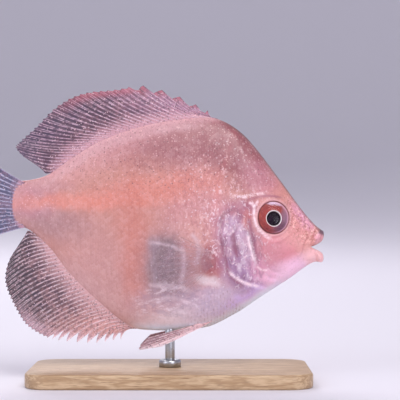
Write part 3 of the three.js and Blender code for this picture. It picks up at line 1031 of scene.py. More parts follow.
@dataclass(frozen=True)
class SkinFinish:
    """The fish's moist skin with its markings, some of them painted light and shade. Skin and
    scales share them.
    """

    name: str
    on_scales: bool = False
    areas: Areas = Areas()
    base: Colour = srgb(202, 138, 127)
    mouth: Colour = srgb(96, 40, 44)
    silver: Colour = srgb(236, 220, 230)
    belly: Colour = srgb(232, 216, 224)
    cloud: Grain = Grain(420, 4, 0.6, 0.3, 0.72, 0.14, srgb(236, 178, 172))
    fine: Grain = Grain(2300, 3, 0.6, 0.5, 0.72, 0.22, srgb(160, 92, 96))
    freckles: Grain = Grain(1500, 3, 0.6, 0.5, 0.6, 0.6, srgb(160, 88, 78))
    crumbs: Grain = Grain(1900, 3, 0.6, 0.55, 0.63, 0.5, srgb(255, 208, 198))
    dust: Grain = Grain(2900, 2, 0.6, 0.56, 0.64, 0.5, srgb(132, 76, 84))
    sand: Dots = Dots(1500, 0.3, 0.14, 600, 2, 0.4, 0.56, 0.6, srgb(246, 200, 200))
    pepper: Dots = Dots(1150, 0.22, 0.1, 700, 1, 0.42, 0.54, 0.75, srgb(96, 52, 58))
    roughness: float = 0.34
    coat: float = 0.35

    def markings(self, finish: Finish) -> Socket:
        """Paints the body's colours, with some painted shade and highlights among the patches.

        Args:
            finish: The material to paint in.

        Returns:
            The colour.
        """
        at = finish.shifted(0.0014, 260)
        colour = self.base
        for patch in PATCHES:
            colour = finish.stain(colour, finish.oval(patch, at), patch.strength, patch.colour)
        for kind in (self.cloud, self.fine):
            colour = finish.grain(colour, kind)
        colour = self.window(finish, at, colour)
        return self.head_paint(finish, self.flecks(finish, self.edges(finish, colour)))

    def window(self, finish: Finish, at: Socket, colour: Socket) -> Socket:
        """Paints the thin-walled belly, where the dark gut shows through in a squarish area.

        Args:
            finish: The material to paint in.
            at: Where it is read.
            colour: The colour so far.

        Returns:
            The colour with the dark area.
        """
        along, up = finish.part(at, "X"), finish.part(at, "Z")
        dark = finish.times(
            finish.between_mm(along, -5.9, -2.9), finish.between_mm(along, 4.9, 0.2),
            finish.between_mm(up, 15.0, 22.5), finish.between_mm(up, 31.8, 27.9),
        )
        upright = finish.stretched((1, 1, 0.3))
        folds = finish.between(finish.noise(420, 3, 0.6, upright), 0.42, 0.66)
        gut = finish.stain(srgb(116, 98, 108), folds, 0.5, srgb(174, 154, 170))
        colour = finish.stain(colour, dark, 0.78, gut)
        low = finish.oval(self.areas.low_belly, at)
        waves = finish.noise(640, 4, 0.68, finish.stretched((0.7, 1, 1.3), (0, 0.4, 0)))
        light = finish.times(finish.between(waves, 0.51, 0.62), low)
        colour = finish.stain(colour, light, 0.55, srgb(244, 224, 234))
        sunk = finish.times(finish.between(waves, 0.48, 0.39), low)
        colour = finish.stain(colour, sunk, 0.36, srgb(158, 134, 158))
        return finish.stain(colour, finish.number("faint"), 0.6, srgb(226, 198, 208))

    def edges(self, finish: Finish, colour: Socket) -> Socket:
        """Paints the pale band under the dorsal fin, a painted light strip along the back's edge,
        the dark brow, the silver belly and a painted highlight along its lowest edge.

        Args:
            finish: The material to paint in.
            colour: The colour so far.

        Returns:
            The colour with its edges.
        """
        under_back = finish.number("from_back")
        over_belly = finish.number("from_belly")
        along = finish.part(finish.place, "X")
        wobble = finish.times(finish.noise(500, 3), 1.6)
        band = finish.times(
            finish.between(finish.math("ADD", under_back, wobble), 4.6, 2.6),
            finish.between_mm(along, 10, 2), finish.between_mm(along, -34, -14),
        )
        colour = finish.stain(colour, band, 0.6, srgb(216, 166, 172))
        # Painted light: a pale strip along the back's edge that lifts the shade in the crease where
        # the dorsal fin's root meets the skin.
        crest_light = finish.times(
            finish.between(under_back, 1.5, 0.4), finish.between_mm(along, 12, 8),
            finish.between_mm(along, -34, -10),
        )
        colour = finish.stain(colour, crest_light, 0.66, srgb(226, 172, 178))
        brow = finish.times(
            finish.between(under_back, 1.1, 0.15), finish.between_mm(along, 9, 14)
        )
        colour = finish.stain(colour, brow, 0.75, srgb(112, 80, 80))
        under = finish.times(finish.between_mm(along, -9, -2), finish.between_mm(along, 26, 17))
        silver = finish.between(finish.math("ADD", over_belly, wobble), 3.6, 1.2)
        colour = finish.stain(colour, finish.times(silver, under), 0.8, self.belly)
        # Painted highlight: bluish white along the belly's lowest edge, where light from below
        # catches the pale belly.
        keel_highlight = finish.times(finish.between(over_belly, 1.9, 0.3), under)
        return finish.stain(colour, keel_highlight, 0.85, srgb(234, 240, 255))

    def head_paint(self, finish: Finish, colour: Socket) -> Socket:
        """Paints the gill cover's crumpled silver with its painted highlights and shade, the
        painted shadow along the head's grooves, the bony ridges and the snout's freckles.

        Args:
            finish: The material to paint in.
            colour: The colour so far.

        Returns:
            The colour with the head's marks.
        """
        at = finish.shifted(0.001, 500)
        cover, foot = finish.oval(self.areas.gill_cover, at), finish.oval(self.areas.gill_foot, at)
        plate = finish.math("MAXIMUM", cover, foot)
        # The gill cover's lumps are lighter where the crumple noise is high and darker where it is
        # low, the same noise that the bump raises: partly the cover's silver, partly painted
        # highlight on the lumps and painted shade in the hollows.
        crumple = self.crumple(finish)
        dark = finish.times(finish.between(crumple, 0.52, 0.38), plate)
        colour = finish.stain(colour, dark, 0.5, srgb(136, 88, 116))
        light = finish.times(finish.between(crumple, 0.54, 0.68), plate)
        colour = finish.stain(colour, light, 0.45, self.silver)
        # Painted highlights: thin white lines that stand for light on the gill cover's folds.
        vein_highlight = finish.times(self.highlight_veins(finish), finish.oval(self.areas.highlight_veined))
        colour = finish.stain(colour, vein_highlight, 0.7, srgb(252, 226, 240))
        colour = finish.stain(colour, finish.number("shade"), 0.75, srgb(140, 72, 98))
        worn = finish.between(finish.noise(1200, 3, 0.6), 0.34, 0.54)
        bony = finish.times(finish.number("bony"), finish.scaled(worn, 0.55, 0.45))
        colour = finish.stain(colour, bony, 0.95, srgb(255, 228, 236))
        snout = finish.oval(self.areas.snout)
        for kind in (self.freckles, self.crumbs):
            colour = finish.grain(colour, kind, snout)
        away = finish.number("from_eye")
        lid = finish.times(finish.between(away, 1.0, 1.05), finish.between(away, 1.22, 1.1))
        colour = finish.stain(colour, lid, 0.4, srgb(226, 176, 184))
        colour = finish.stain(colour, finish.between(away, 1.04, 1.0), 0.3, srgb(150, 86, 92))
        return finish.stain(colour, finish.oval(self.areas.lip_tip), 0.8, srgb(84, 58, 74))

    def crumple(self, finish: Finish) -> Socket:
        """The lumps and folds of the gill cover's thin skin."""
        return finish.noise(700, 4, 0.62, finish.stretched((1, 1, 0.45), (0, 0.3, 0)))

    def highlight_veins(self, finish: Finish) -> Socket:
        """Thin wandering silver lines, broken here and there: painted highlights on the gill
        cover's folds, which the bump also raises.
        """
        wander = finish.noise(620, 3, 0.6, finish.stretched((1, 1, 0.6), (0, 0.35, 0)))
        from_line = finish.math("ABSOLUTE", finish.math("SUBTRACT", wander, 0.5))
        unbroken = finish.between(finish.noise(1300, 2), 0.46, 0.56)
        return finish.times(finish.between(from_line, 0.03, 0.006), unbroken)

    def flecks(self, finish: Finish, colour: Socket) -> Socket:
        """Adds silver flecks behind the head and fine dark dots over the back.

        Args:
            finish: The material to paint in.
            colour: The colour so far.

        Returns:
            The colour with flecks.
        """
        areas = self.areas
        nape = finish.times(finish.oval(areas.nape), 0.6)
        flecked = finish.math("MAXIMUM", finish.oval(areas.behind_head), nape)
        streaks = finish.noise(1200, 4, 0.7, finish.stretched((1, 1, 0.55), (0, 0.5, 0)))
        fleck = finish.times(finish.between(streaks, 0.54, 0.64), flecked)
        colour = finish.stain(colour, fleck, 0.42, srgb(246, 206, 208))
        dent = finish.times(finish.between(streaks, 0.46, 0.36), flecked)
        colour = finish.stain(colour, dent, 0.4, srgb(168, 92, 104))
        specked = finish.math("MAXIMUM", flecked, finish.oval(areas.lower_side))
        speck = finish.times(finish.between(finish.from_dots(1100), 0.22, 0.1), specked)
        colour = finish.stain(colour, speck, 0.6, self.silver)
        back = finish.oval(areas.back)
        sandy = finish.math("MAXIMUM", back, finish.oval(areas.stalk))
        colour = finish.dotted(colour, self.sand, finish.scaled(sandy, 0.6, 0.15))
        forehead = finish.times(finish.oval(areas.forehead), 0.8)
        peppered = finish.math("MAXIMUM", back, forehead)
        colour = finish.dotted(colour, self.pepper, peppered)
        return finish.grain(colour, self.dust, finish.scaled(peppered, 0.6, 0.1))

    def scale_paint(self, finish: Finish, colour: Socket) -> Socket:
        """Makes scales a little unlike each other, and draws the breast's rims and seams.

        Args:
            finish: The material to paint in.
            colour: The colour so far.

        Returns:
            The scales' colour.
        """
        tone, rim = finish.number("tone"), finish.number("rim")
        colour = finish.stain(colour, finish.between(tone, 0.5, 1.0), 0.1, srgb(244, 206, 208))
        colour = finish.stain(colour, finish.between(tone, 0.5, 0.0), 0.08, srgb(150, 84, 86))
        breast = finish.oval(self.areas.breast)
        edge = finish.times(finish.between(rim, 0.5, 1.0), finish.scaled(breast, 0.6, 0.1))
        colour = finish.mix(edge, colour, srgb(252, 232, 238))
        seam = finish.times(
            finish.between(rim, 0.45, 0.75), breast, finish.scaled(tone, 0.5, 0.15)
        )
        return finish.mix(seam, colour, srgb(158, 108, 134))

    def make(self) -> bpy.types.Material:
        """Makes the material.

        Returns:
            The material.
        """
        finish = Finish(self.name)
        colour = self.markings(finish)
        lumps = finish.math("ADD", self.crumple(finish), self.highlight_veins(finish))
        raised = finish.times(lumps, finish.oval(self.areas.gill_lumps), 5.0)
        height = finish.math("ADD", finish.noise(2600, 3, 0.6), raised)
        if self.on_scales:
            colour = self.scale_paint(finish, colour)
        else:
            inside = finish.between(finish.number("inside"), 0.1, 0.7)
            colour = finish.mix(inside, colour, self.mouth)
        shine = finish.between(finish.noise(500, 3), 0.3, 0.7)
        finish.set(
            Base_Color=colour,
            Roughness=finish.scaled(shine, 0.16, self.roughness),
            Subsurface_Weight=0.12,
            Subsurface_Radius=(1.0, 0.45, 0.35),
            Subsurface_Scale=0.0012,
            Coat_Weight=self.coat,
            Coat_Roughness=0.22,
            Specular_IOR_Level=0.5,
            Normal=finish.bump(height, 0.00004, 0.6),
        )
        return finish.material


@dataclass(frozen=True)
class FinColours:
    """How one fin is coloured, from its root to its margin."""

    root: Colour
    membrane: Colour
    ray: Colour
    margin: Colour
    front: Colour
    tips: Colour
    dark: Colour = srgb(70, 52, 70)
    spine_tip: Colour = srgb(76, 48, 64)
    clear_from: float = 0.3
    root_share: float = 0.42
    solid: float = 0.96
    thin: float = 0.72
    dark_share: float = 0.5


@dataclass(frozen=True)
class FinFinish:
    """A rayed membrane that lets some light through between its rays."""

    name: str
    rays: int
    spines: int
    colours: FinColours
    glints: Dots = Dots(1750, 0.28, 0.12, 520, 2, 0.38, 0.54, 0.65, srgb(244, 212, 220))
    joints: float = 26.0

    def membrane(self, finish: Finish, u: Socket, v: Socket) -> Socket:
        """Paints the fin as it would be without rays.

        Args:
            finish: The material to paint in.
            u: Places among the rays.
            v: Places from root to margin.

        Returns:
            The colour.
        """
        tint = self.colours
        sheet = finish.mix(finish.between(u, 0.5, 0.08), tint.membrane, tint.front)
        cloud = finish.between(finish.noise(420, 3, 0.6), 0.42, 0.62)
        sheet = finish.stain(sheet, cloud, 0.35, tint.root)
        colour = finish.mix(finish.between(v, tint.root_share, 0.05), sheet, tint.root)
        dark = finish.times(
            finish.between(self.off_ray(finish, u), 0.1, 0.35), finish.between(v, 0.1, 0.5),
            finish.between(finish.noise(1100, 4, 0.65), 0.42, 0.62),
            finish.scaled(finish.between(u, 0.12, 0.4), 0.6, 0.4),
        )
        colour = finish.stain(colour, dark, tint.dark_share, tint.dark)
        rear = finish.times(finish.between(v, 0.3, 0.9), finish.between(u, 0.25, 0.75))
        return finish.stain(colour, rear, 0.8, tint.margin)

    def off_ray(self, finish: Finish, u: Socket) -> Socket:
        """Distance to the nearest ray, in ray spacings."""
        return finish.math("PINGPONG", finish.times(u, self.rays - 1.0), 0.5)

    def ray_paint(self, finish: Finish, colour: Socket, ray: Socket, u: Socket,
                  v: Socket) -> Socket:
        """Paints the rays, with streaks beside them and coloured tips.

        Args:
            finish: The material to paint in.
            colour: The colour so far.
            ray: How much of a ray each place is.
            u: Places among the rays.
            v: Places from root to margin.

        Returns:
            The colour with rays.
        """
        tint = self.colours
        along_rays = finish.stretched((self.rays * 0.9, 15.0, 1.0), at=finish.own_map("fin_map"))
        worn = finish.noise(1.0, 3, 0.6, along_rays)
        lit = finish.scaled(finish.between(worn, 0.4, 0.58), 0.7, 0.2)
        colour = finish.mix(finish.times(ray, lit), colour, tint.ray)
        streak = finish.times(
            finish.between(self.off_ray(finish, u), 0.24, 0.1), finish.between(v, 0.5, 0.3),
            finish.between(v, 0.02, 0.12), finish.between(worn, 0.34, 0.5),
        )
        colour = finish.stain(colour, streak, 0.55, tint.ray)
        tips = finish.between(v, 0.8, 0.97)
        blush = finish.times(tips, finish.between(u, 0.62, 0.4))
        colour = finish.stain(colour, blush, 0.5, tint.tips)
        last_spine = self.spines / self.rays
        spiny = finish.between(u, last_spine + 0.02, last_spine - 0.02)
        return finish.mix(finish.times(tips, ray, spiny), colour, tint.spine_tip)

    def make(self) -> bpy.types.Material:
        """Makes the material.

        Returns:
            The material.
        """
        finish = Finish(self.name)
        tint = self.colours
        at = finish.own_map("fin_map")
        u, v = finish.part(at, "X"), finish.part(at, "Y")
        ray = finish.number("ray")
        colour = self.ray_paint(finish, self.membrane(finish, u, v), ray, u, v)
        colour = finish.dotted(colour, Dots(1500, 0.3, 0.14, 700, 2, 0.36, 0.5, 0.62, tint.dark))
        colour = finish.grain(colour, Grain(2600, 2, 0.6, 0.54, 0.64, 0.35, tint.dark))
        colour = finish.dotted(colour, self.glints)
        off = finish.math("SUBTRACT", 1.0, ray)
        see_through = finish.times(
            finish.between(v, tint.clear_from, 0.9), off, tint.solid - tint.thin
        )
        joints = finish.math("PINGPONG", finish.times(v, self.joints), 0.5)
        height = finish.math("ADD", finish.times(joints, 0.3), finish.noise(2400, 3, 0.6))
        finish.set(
            Base_Color=colour,
            Alpha=finish.math("SUBTRACT", tint.solid, see_through),
            Roughness=0.45,
            Subsurface_Weight=0.1,
            Subsurface_Scale=0.0008,
            Coat_Weight=0.25,
            Coat_Roughness=0.25,
            Normal=finish.bump(height, 0.00004, 0.6),
        )
        return finish.material


@dataclass
class Skin:
    """The fish's one seamless skin, from the tail stalk to the back of the mouth."""

    form: SkinForm
    around: int = 248
    along: int = 392
    outside_share: float = 0.88
    lips_end: float = 0.96
    crowding: float = 0.6
    lip_swell: float = 0.22
    lip_rise: tuple[float, float] = (0.05, 0.4)
    lip_length: float = 0.7
    lip_inset: float = 0.35
    lip_narrow: float = 0.7
    gape_power: float = 0.7
    dark_from: float = -0.03
    dark_full: float = 0.012
    replaced: tuple[str, ...] = (
        "head", "upper_jaw", "lower_jaw", "gill_cover_right", "gill_cover_left", "trunk",
        "tail_stalk",
    )

    def build(self) -> bpy.types.Object:
        """Builds the skin from a ball whose poles are the tail's end and the throat.

        Returns:
            The skin's object.
        """
        shape = bmesh.new()
        bmesh.ops.create_uvsphere(
            shape, u_segments=self.around, v_segments=self.along, radius=1.0
        )
        mesh = mesh_from(shape, "skin")
        ball = read_places(mesh)
        share = np.arccos(np.clip(-ball[:, 2], -1, 1)) / math.pi
        angle = np.arctan2(ball[:, 1], ball[:, 0])
        places, inside = self.wrap(share, angle)
        write_places(mesh, places * MM)
        point_outwards(mesh)
        add_number(mesh, "inside", inside)
        for name, values in self.form.marks(places[:, 0], places[:, 2]).items():
            add_number(mesh, name, values)
        piece = new_object("skin", mesh)
        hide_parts(*self.replaced)
        return piece

    def wrap(self, share: Array, angle: Array) -> tuple[Array, Array]:
        """Lays the ball over the fish and in round the lips.

        Args:
            share: How far each vertex is from the tail's pole, from 0 to 1.
            angle: Its angle round the body.

        Returns:
            The places in millimetres, and how far inside the mouth each one is.
        """
        flesh = self.form.flesh
        height = np.abs(np.sin(angle))
        gape = flesh.lip_x - flesh.mouth_corner
        lip_x = flesh.mouth_corner + gape * height**self.gape_power
        t = np.minimum(share / self.outside_share, 1)
        eased = t - self.crowding * np.sin(2 * math.pi * t) / (2 * math.pi)
        x = flesh.tail_end + (lip_x - flesh.tail_end) * eased
        outside = self.form.at(x, angle)
        full = self.lip_swell * smooth(*self.lip_rise, height)
        swell = full * bell((lip_x - x) / self.lip_length)
        outside += flesh.normal(x, angle) * swell[:, None]
        lip = self.form.at(lip_x, angle) + flesh.normal(lip_x, angle) * full[:, None]
        inner = np.stack([
            lip_x - self.lip_inset, lip[:, 1] * self.lip_narrow,
            flesh.mouth_level + np.sin(angle) * flesh.mouth_half,
        ], axis=-1)
        turn = math.pi * np.clip(
            (share - self.outside_share) / (self.lips_end - self.outside_share), 0, 1
        )
        rolled = lip + (inner - lip) * ((1 - np.cos(turn)) / 2)[:, None]
        forward = flesh.corner_round + (flesh.lip_round - flesh.corner_round) * height
        rolled[:, 0] += forward * np.sin(turn)
        deep = np.clip((share - self.lips_end) / (1 - self.lips_end), 0, 1)[:, None]
        throat = np.array([flesh.throat_x, 0.0, flesh.mouth_level])
        places = np.where((share <= self.outside_share)[:, None], outside, rolled)
        places = np.where((share > self.lips_end)[:, None], inner + (throat - inner) * deep, places)
        return places, smooth(self.dark_from, self.dark_full, share - self.lips_end)


class ArcTable:
    """Turns distances over the skin, measured from the side's mid-line, into angles."""

    def __init__(self, flesh: Flesh, rows: int = 240, steps: int = 320, shares: int = 240) -> None:
        """Measures the flesh in slices.

        Args:
            flesh: The flesh to measure.
            rows: How many slices there are.
            steps: How many points one quarter of a slice is measured at.
            shares: How many entries each quarter of the table has.
        """
        self.low, self.high = flesh.tail_end + 0.2, flesh.lip_x
        self.rows, self.shares = rows, shares
        self.reach: dict[int, Array] = {}
        self.turn: dict[int, Array] = {}
        for way in (1, -1):
            reach = np.zeros(rows)
            table = np.zeros((rows, shares))
            angle = np.linspace(0, way * (math.pi / 2 - 0.004), steps)
            for i, x in enumerate(np.linspace(self.low, self.high, rows)):
                slice_points = flesh.point(np.full(steps, x), angle)
                length = np.hypot(np.diff(slice_points[:, 1]), np.diff(slice_points[:, 2]))
                arc = np.concatenate([[0], np.cumsum(length)])
                reach[i] = arc[-1]
                table[i] = np.interp(np.linspace(0, arc[-1], shares), arc, angle)
            self.reach[way], self.turn[way] = reach, table

    def full(self, x: Array, way: Array) -> Array:
        """The distance over the skin from the mid-line to the back or the belly."""
        grid = np.linspace(self.low, self.high, self.rows)
        return np.where(
            way > 0, np.interp(x, grid, self.reach[1]), np.interp(x, grid, self.reach[-1])
        )

    def angle(self, x: Array, share: Array) -> Array:
        """The angle at a share of that distance.

        Args:
            x: Places along the fish.
            share: Shares, from 1 at the back to -1 at the belly.

        Returns:
            The angles.
        """
        row = np.clip((x - self.low) / (self.high - self.low), 0, 1) * (self.rows - 1)
        column = np.clip(np.abs(share), 0, 1) * (self.shares - 1)
        i = np.minimum(row.astype(int), self.rows - 2)
        j = np.minimum(column.astype(int), self.shares - 2)
        a, b = row - i, column - j
        out = np.zeros_like(x)
        for way in (1, -1):
            table = self.turn[way]
            value = (
                table[i, j] * (1 - a) * (1 - b) + table[i + 1, j] * a * (1 - b)
                + table[i, j + 1] * (1 - a) * b + table[i + 1, j + 1] * a * b
            )
            out = np.where(share * way >= 0, value, out)
        return out


@dataclass(frozen=True)
class ScaleField:
    """One area of scales that are all about the same size."""

    name: str
    spacing: float
    x_range: tuple[float, float]
    covers: Callable[[Array, Array], Array]
    raised: float


def shoulder(x: Array, z: Array) -> Array:
    """How far places are in front of the line where the body's scales end."""
    return x - (10.0 + 0.012 * (z - 32) ** 2)


def on_flank(x: Array, z: Array) -> Array:
    """How far inside the body's scaled area places are, above the breast."""
    return np.minimum.reduce([-shoulder(x, z), -on_breast(x, z), x + 32.4])


def on_breast(x: Array, z: Array) -> Array:
    """How far inside the breast's area of small scales places are."""
    front = np.minimum.reduce([x - 9.0, 20.4 - z, 29.5 - 0.78 * x - z])
    return np.maximum(np.minimum.reduce([19.2 - z - 0.5 * np.abs(x - 9), x + 1.5]), front)

def from_eye_middle(x: Array, z: Array) -> Array:
    """How far places are from the middle of the eye's scaleless ring, in millimetres."""
    return np.hypot(x - 21.5, z - 34.2)


def on_cheek(x: Array, z: Array) -> Array:
    """How far inside the cheek's and the gill cover's scaled area places are."""
    return np.minimum.reduce([
        x - 11.0, 24.6 - x, 34.8 - z, z - (29.2 - 0.58 * (x - 10)),
        from_eye_middle(x, z) - 4.6, 36 - 0.42 * (x - 12) - z,
    ])


def on_nape(x: Array, z: Array) -> Array:
    """How far inside the nape's scaled area places are."""
    return np.minimum.reduce([
        shoulder(x, z) + 0.3, 23.2 - x, z - 35.8, from_eye_middle(x, z) - 5.2
    ])


@dataclass
class ScaleCoat:
    """Scales in overlapping rows, each a thin closed plate that follows the skin."""

    form: SkinForm
    table: ArcTable
    fields: tuple[ScaleField, ...] = (
        ScaleField("flank", 0.86, (-32.0, 18.0), on_flank, 0.016),
        ScaleField("breast", 1.05, (-2.0, 20.0), on_breast, 0.04),
        ScaleField("cheek", 0.62, (10.0, 26.0), on_cheek, 0.008),
        ScaleField("nape", 0.74, (9.0, 22.5), on_nape, 0.014),
    )
    sides: int = 9
    column_step: float = 0.62
    length: float = 1.5
    width: float = 1.2
    thickness: float = 0.022
    root_depth: float = 0.05
    margin_depth: float = 0.035
    margin_reach: float = 1.6
    first_row: float = 0.25
    last_row: float = 0.2
    plate_gap: float = 0.5
    jitter: float = 0.05
    size_range: tuple[float, float] = (0.94, 1.06)
    patch: float = 0.003

    def build(self, side: Side, where: ScaleField) -> bpy.types.Object:
        """Builds one area's scales on one side as one mesh.

        Args:
            side: The side of the fish.
            where: The area.

        Returns:
            The scales' object.
        """
        x0, arc0, size, tone, sunk = self.roots(where, side)
        template, rim = self.template()
        label = f"scales_{where.name}_{side.word}"
        mesh = self.repeated(len(x0), label)
        local = np.tile(template, (len(x0), 1))
        owner = np.repeat(np.arange(len(x0)), len(template))
        way0 = np.sign(arc0)
        share0 = arc0 / self.table.full(x0, way0)
        slope = (self.table.full(x0 + 0.5, way0) - self.table.full(x0 - 0.5, way0)) * share0
        slow = 1 / np.sqrt(1 + slope**2)
        pitch = where.spacing * size
        x = x0[owner] - local[:, 0] * (self.length * pitch * slow)[owner]
        arc = share0[owner] * self.table.full(x, way0[owner])
        arc = arc + local[:, 1] * (self.width * pitch)[owner]
        share = arc / self.table.full(x, np.sign(arc))
        angle = self.table.angle(x, np.clip(share, -1, 1))
        if side is Side.RIGHT:
            angle = math.pi - angle
        tip = local[:, 0]
        lift = where.raised * smooth(0.1, 1.0, tip) - self.root_depth * smooth(0.4, -0.2, tip)
        lift = lift + local[:, 2] * self.thickness - self.margin_depth * sunk[owner]
        places = self.form.at(x, angle, lift)
        write_places(mesh, places * MM)
        point_outwards(mesh)
        for name, values in self.form.marks(places[:, 0], places[:, 2]).items():
            add_number(mesh, name, values)
        add_number(mesh, "tone", tone[owner])
        add_number(mesh, "rim", np.tile(rim, len(x0)))
        self.add_bake_map(mesh, x0, share0, owner, local, side)
        piece = new_object(label, mesh)
        return piece

    def template(self) -> tuple[Array, Array]:
        """One scale: its vertices as length, width and height, and how near each is to its rim.

        Returns:
            The places, length running from the root to the free edge, and the rim share.
        """
        shape = self.plate()
        shape.verts.ensure_lookup_table()
        places = np.array([v.co for v in shape.verts])
        shape.free()
        return places, smooth(0.6, 1.0, places[:, 0])

    def plate(self) -> bmesh.types.BMesh:
        """A low domed plate with a flat underside.

        Returns:
            The plate as a bmesh, 1 long and 1 wide, its root at 0.
        """
        shape = bmesh.new()
        bmesh.ops.create_circle(shape, cap_ends=True, segments=self.sides, radius=0.5)
        bmesh.ops.inset_region(
            shape, faces=shape.faces[:], thickness=0.16, depth=0.0, use_even_offset=True
        )
        middle = max(shape.faces, key=lambda face: len(face.verts))
        centre = bmesh.ops.poke(shape, faces=[middle])["verts"]
        inner = {v for v in shape.verts if v.co.length < 0.45}
        for vertex in inner:
            vertex.co.z = 0.9
        for vertex in centre:
            vertex.co.z = 1.2
        for vertex in shape.verts:
            if vertex not in inner:
                vertex.co.z = -0.5
        rim = [e for e in shape.edges if e.is_boundary]
        bmesh.ops.contextual_create(shape, geom=rim)
        for edge in rim:
            edge.smooth = False
        for vertex in shape.verts:
            along = vertex.co.x + 0.5
            narrow = 1.0 - 0.35 * max(0.45 - along, 0) / 0.45
            vertex.co.x = along
            vertex.co.y *= narrow
        return shape

    def repeated(self, count: int, name: str) -> bpy.types.Mesh:
        """The plate, repeated by an array into one mesh.

        Args:
            count: How many plates there are.
            name: The mesh's name.

        Returns:
            The mesh, every plate still in the same place.
        """
        mesh = mesh_from(self.plate(), f"{name}_one")
        single = bpy.data.objects.new(f"{name}_one", mesh)
        bpy.context.scene.collection.objects.link(single)
        array = single.modifiers.new("rows", "ARRAY")
        array.count = count
        array.use_relative_offset = False
        graph = bpy.context.evaluated_depsgraph_get()
        joined = bpy.data.meshes.new_from_object(single.evaluated_get(graph))
        joined.name = name
        bpy.data.objects.remove(single)
        bpy.data.meshes.remove(mesh)
        return joined

    def roots(self, where: ScaleField, side: Side) -> tuple[Array, ...]:
        """Sets out the scales in staggered rows.

        Args:
            where: The area.
            side: The side of the fish, which changes only small irregularities.

        Returns:
            For each scale its root's x, its distance over the skin from the mid-line, its size,
            its tone, and how far it sinks into the skin near the area's edge, from 0 to 1.
        """
        chance = np.random.default_rng(11 + 7 * side.value)
        xs, arcs = [], []
        x, odd = where.x_range[0], 0.0
        while x < where.x_range[1]:
            for way in (1, -1):
                full = float(self.table.full(np.array([x]), np.array([way]))[0])
                rows = np.arange(self.first_row + odd, full / where.spacing - self.last_row)
                arcs.append(way * rows * where.spacing)
                xs.append(np.full(len(rows), x))
            x += where.spacing * self.column_step
            odd = 0.5 - odd
        x0, arc0 = np.concatenate(xs), np.concatenate(arcs)
        share = arc0 / self.table.full(x0, np.sign(arc0))
        z0 = self.form.flesh.point(x0, self.table.angle(x0, share))[:, 2]
        inner = where.covers(x0, z0)
        relief = self.form.relief
        for edge in (relief.gill_edge, relief.preopercle):
            inner = np.minimum(inner, edge.stroke.measure(x0, z0)[0] - self.plate_gap)
        keep = inner > 0
        x0, arc0 = x0[keep], arc0[keep]
        sunk = smooth(self.margin_reach, 0.0, inner[keep])
        jitter = self.jitter * where.spacing
        x0 = x0 + chance.uniform(-jitter, jitter, len(x0))
        arc0 = arc0 + chance.uniform(-jitter, jitter, len(x0))
        size = chance.uniform(*self.size_range, len(x0))
        return x0, arc0, size, chance.uniform(0, 1, len(x0)), sunk

    def add_bake_map(self, mesh: bpy.types.Mesh, x0: Array, share0: Array, owner: Array,
                     local: Array, side: Side) -> None:
        """Gives each scale a small patch of a bake map at its own root, laid out by the root's
        place along the fish and round it.

        Args:
            mesh: The scales' mesh.
            x0: Each root's place along the fish.
            share0: Each root's share of the way to the back or belly.
            owner: The scale that each vertex is part of.
            local: Each vertex's place on its scale.
            side: The side of the fish.
        """
        span = self.table.high - self.table.low
        u = 0.02 + 0.96 * np.clip((x0 - self.table.low) / span, 0, 1)
        v = (0.25 if side is Side.RIGHT else 0.75) + 0.24 * share0
        places = np.stack([u[owner], v[owner]], axis=-1)
        places[:, 0] += (0.5 - local[:, 0]) * 0.9 * self.patch
        places[:, 1] += local[:, 1] * 0.9 * self.patch
        add_map(mesh, "OFBake", places)


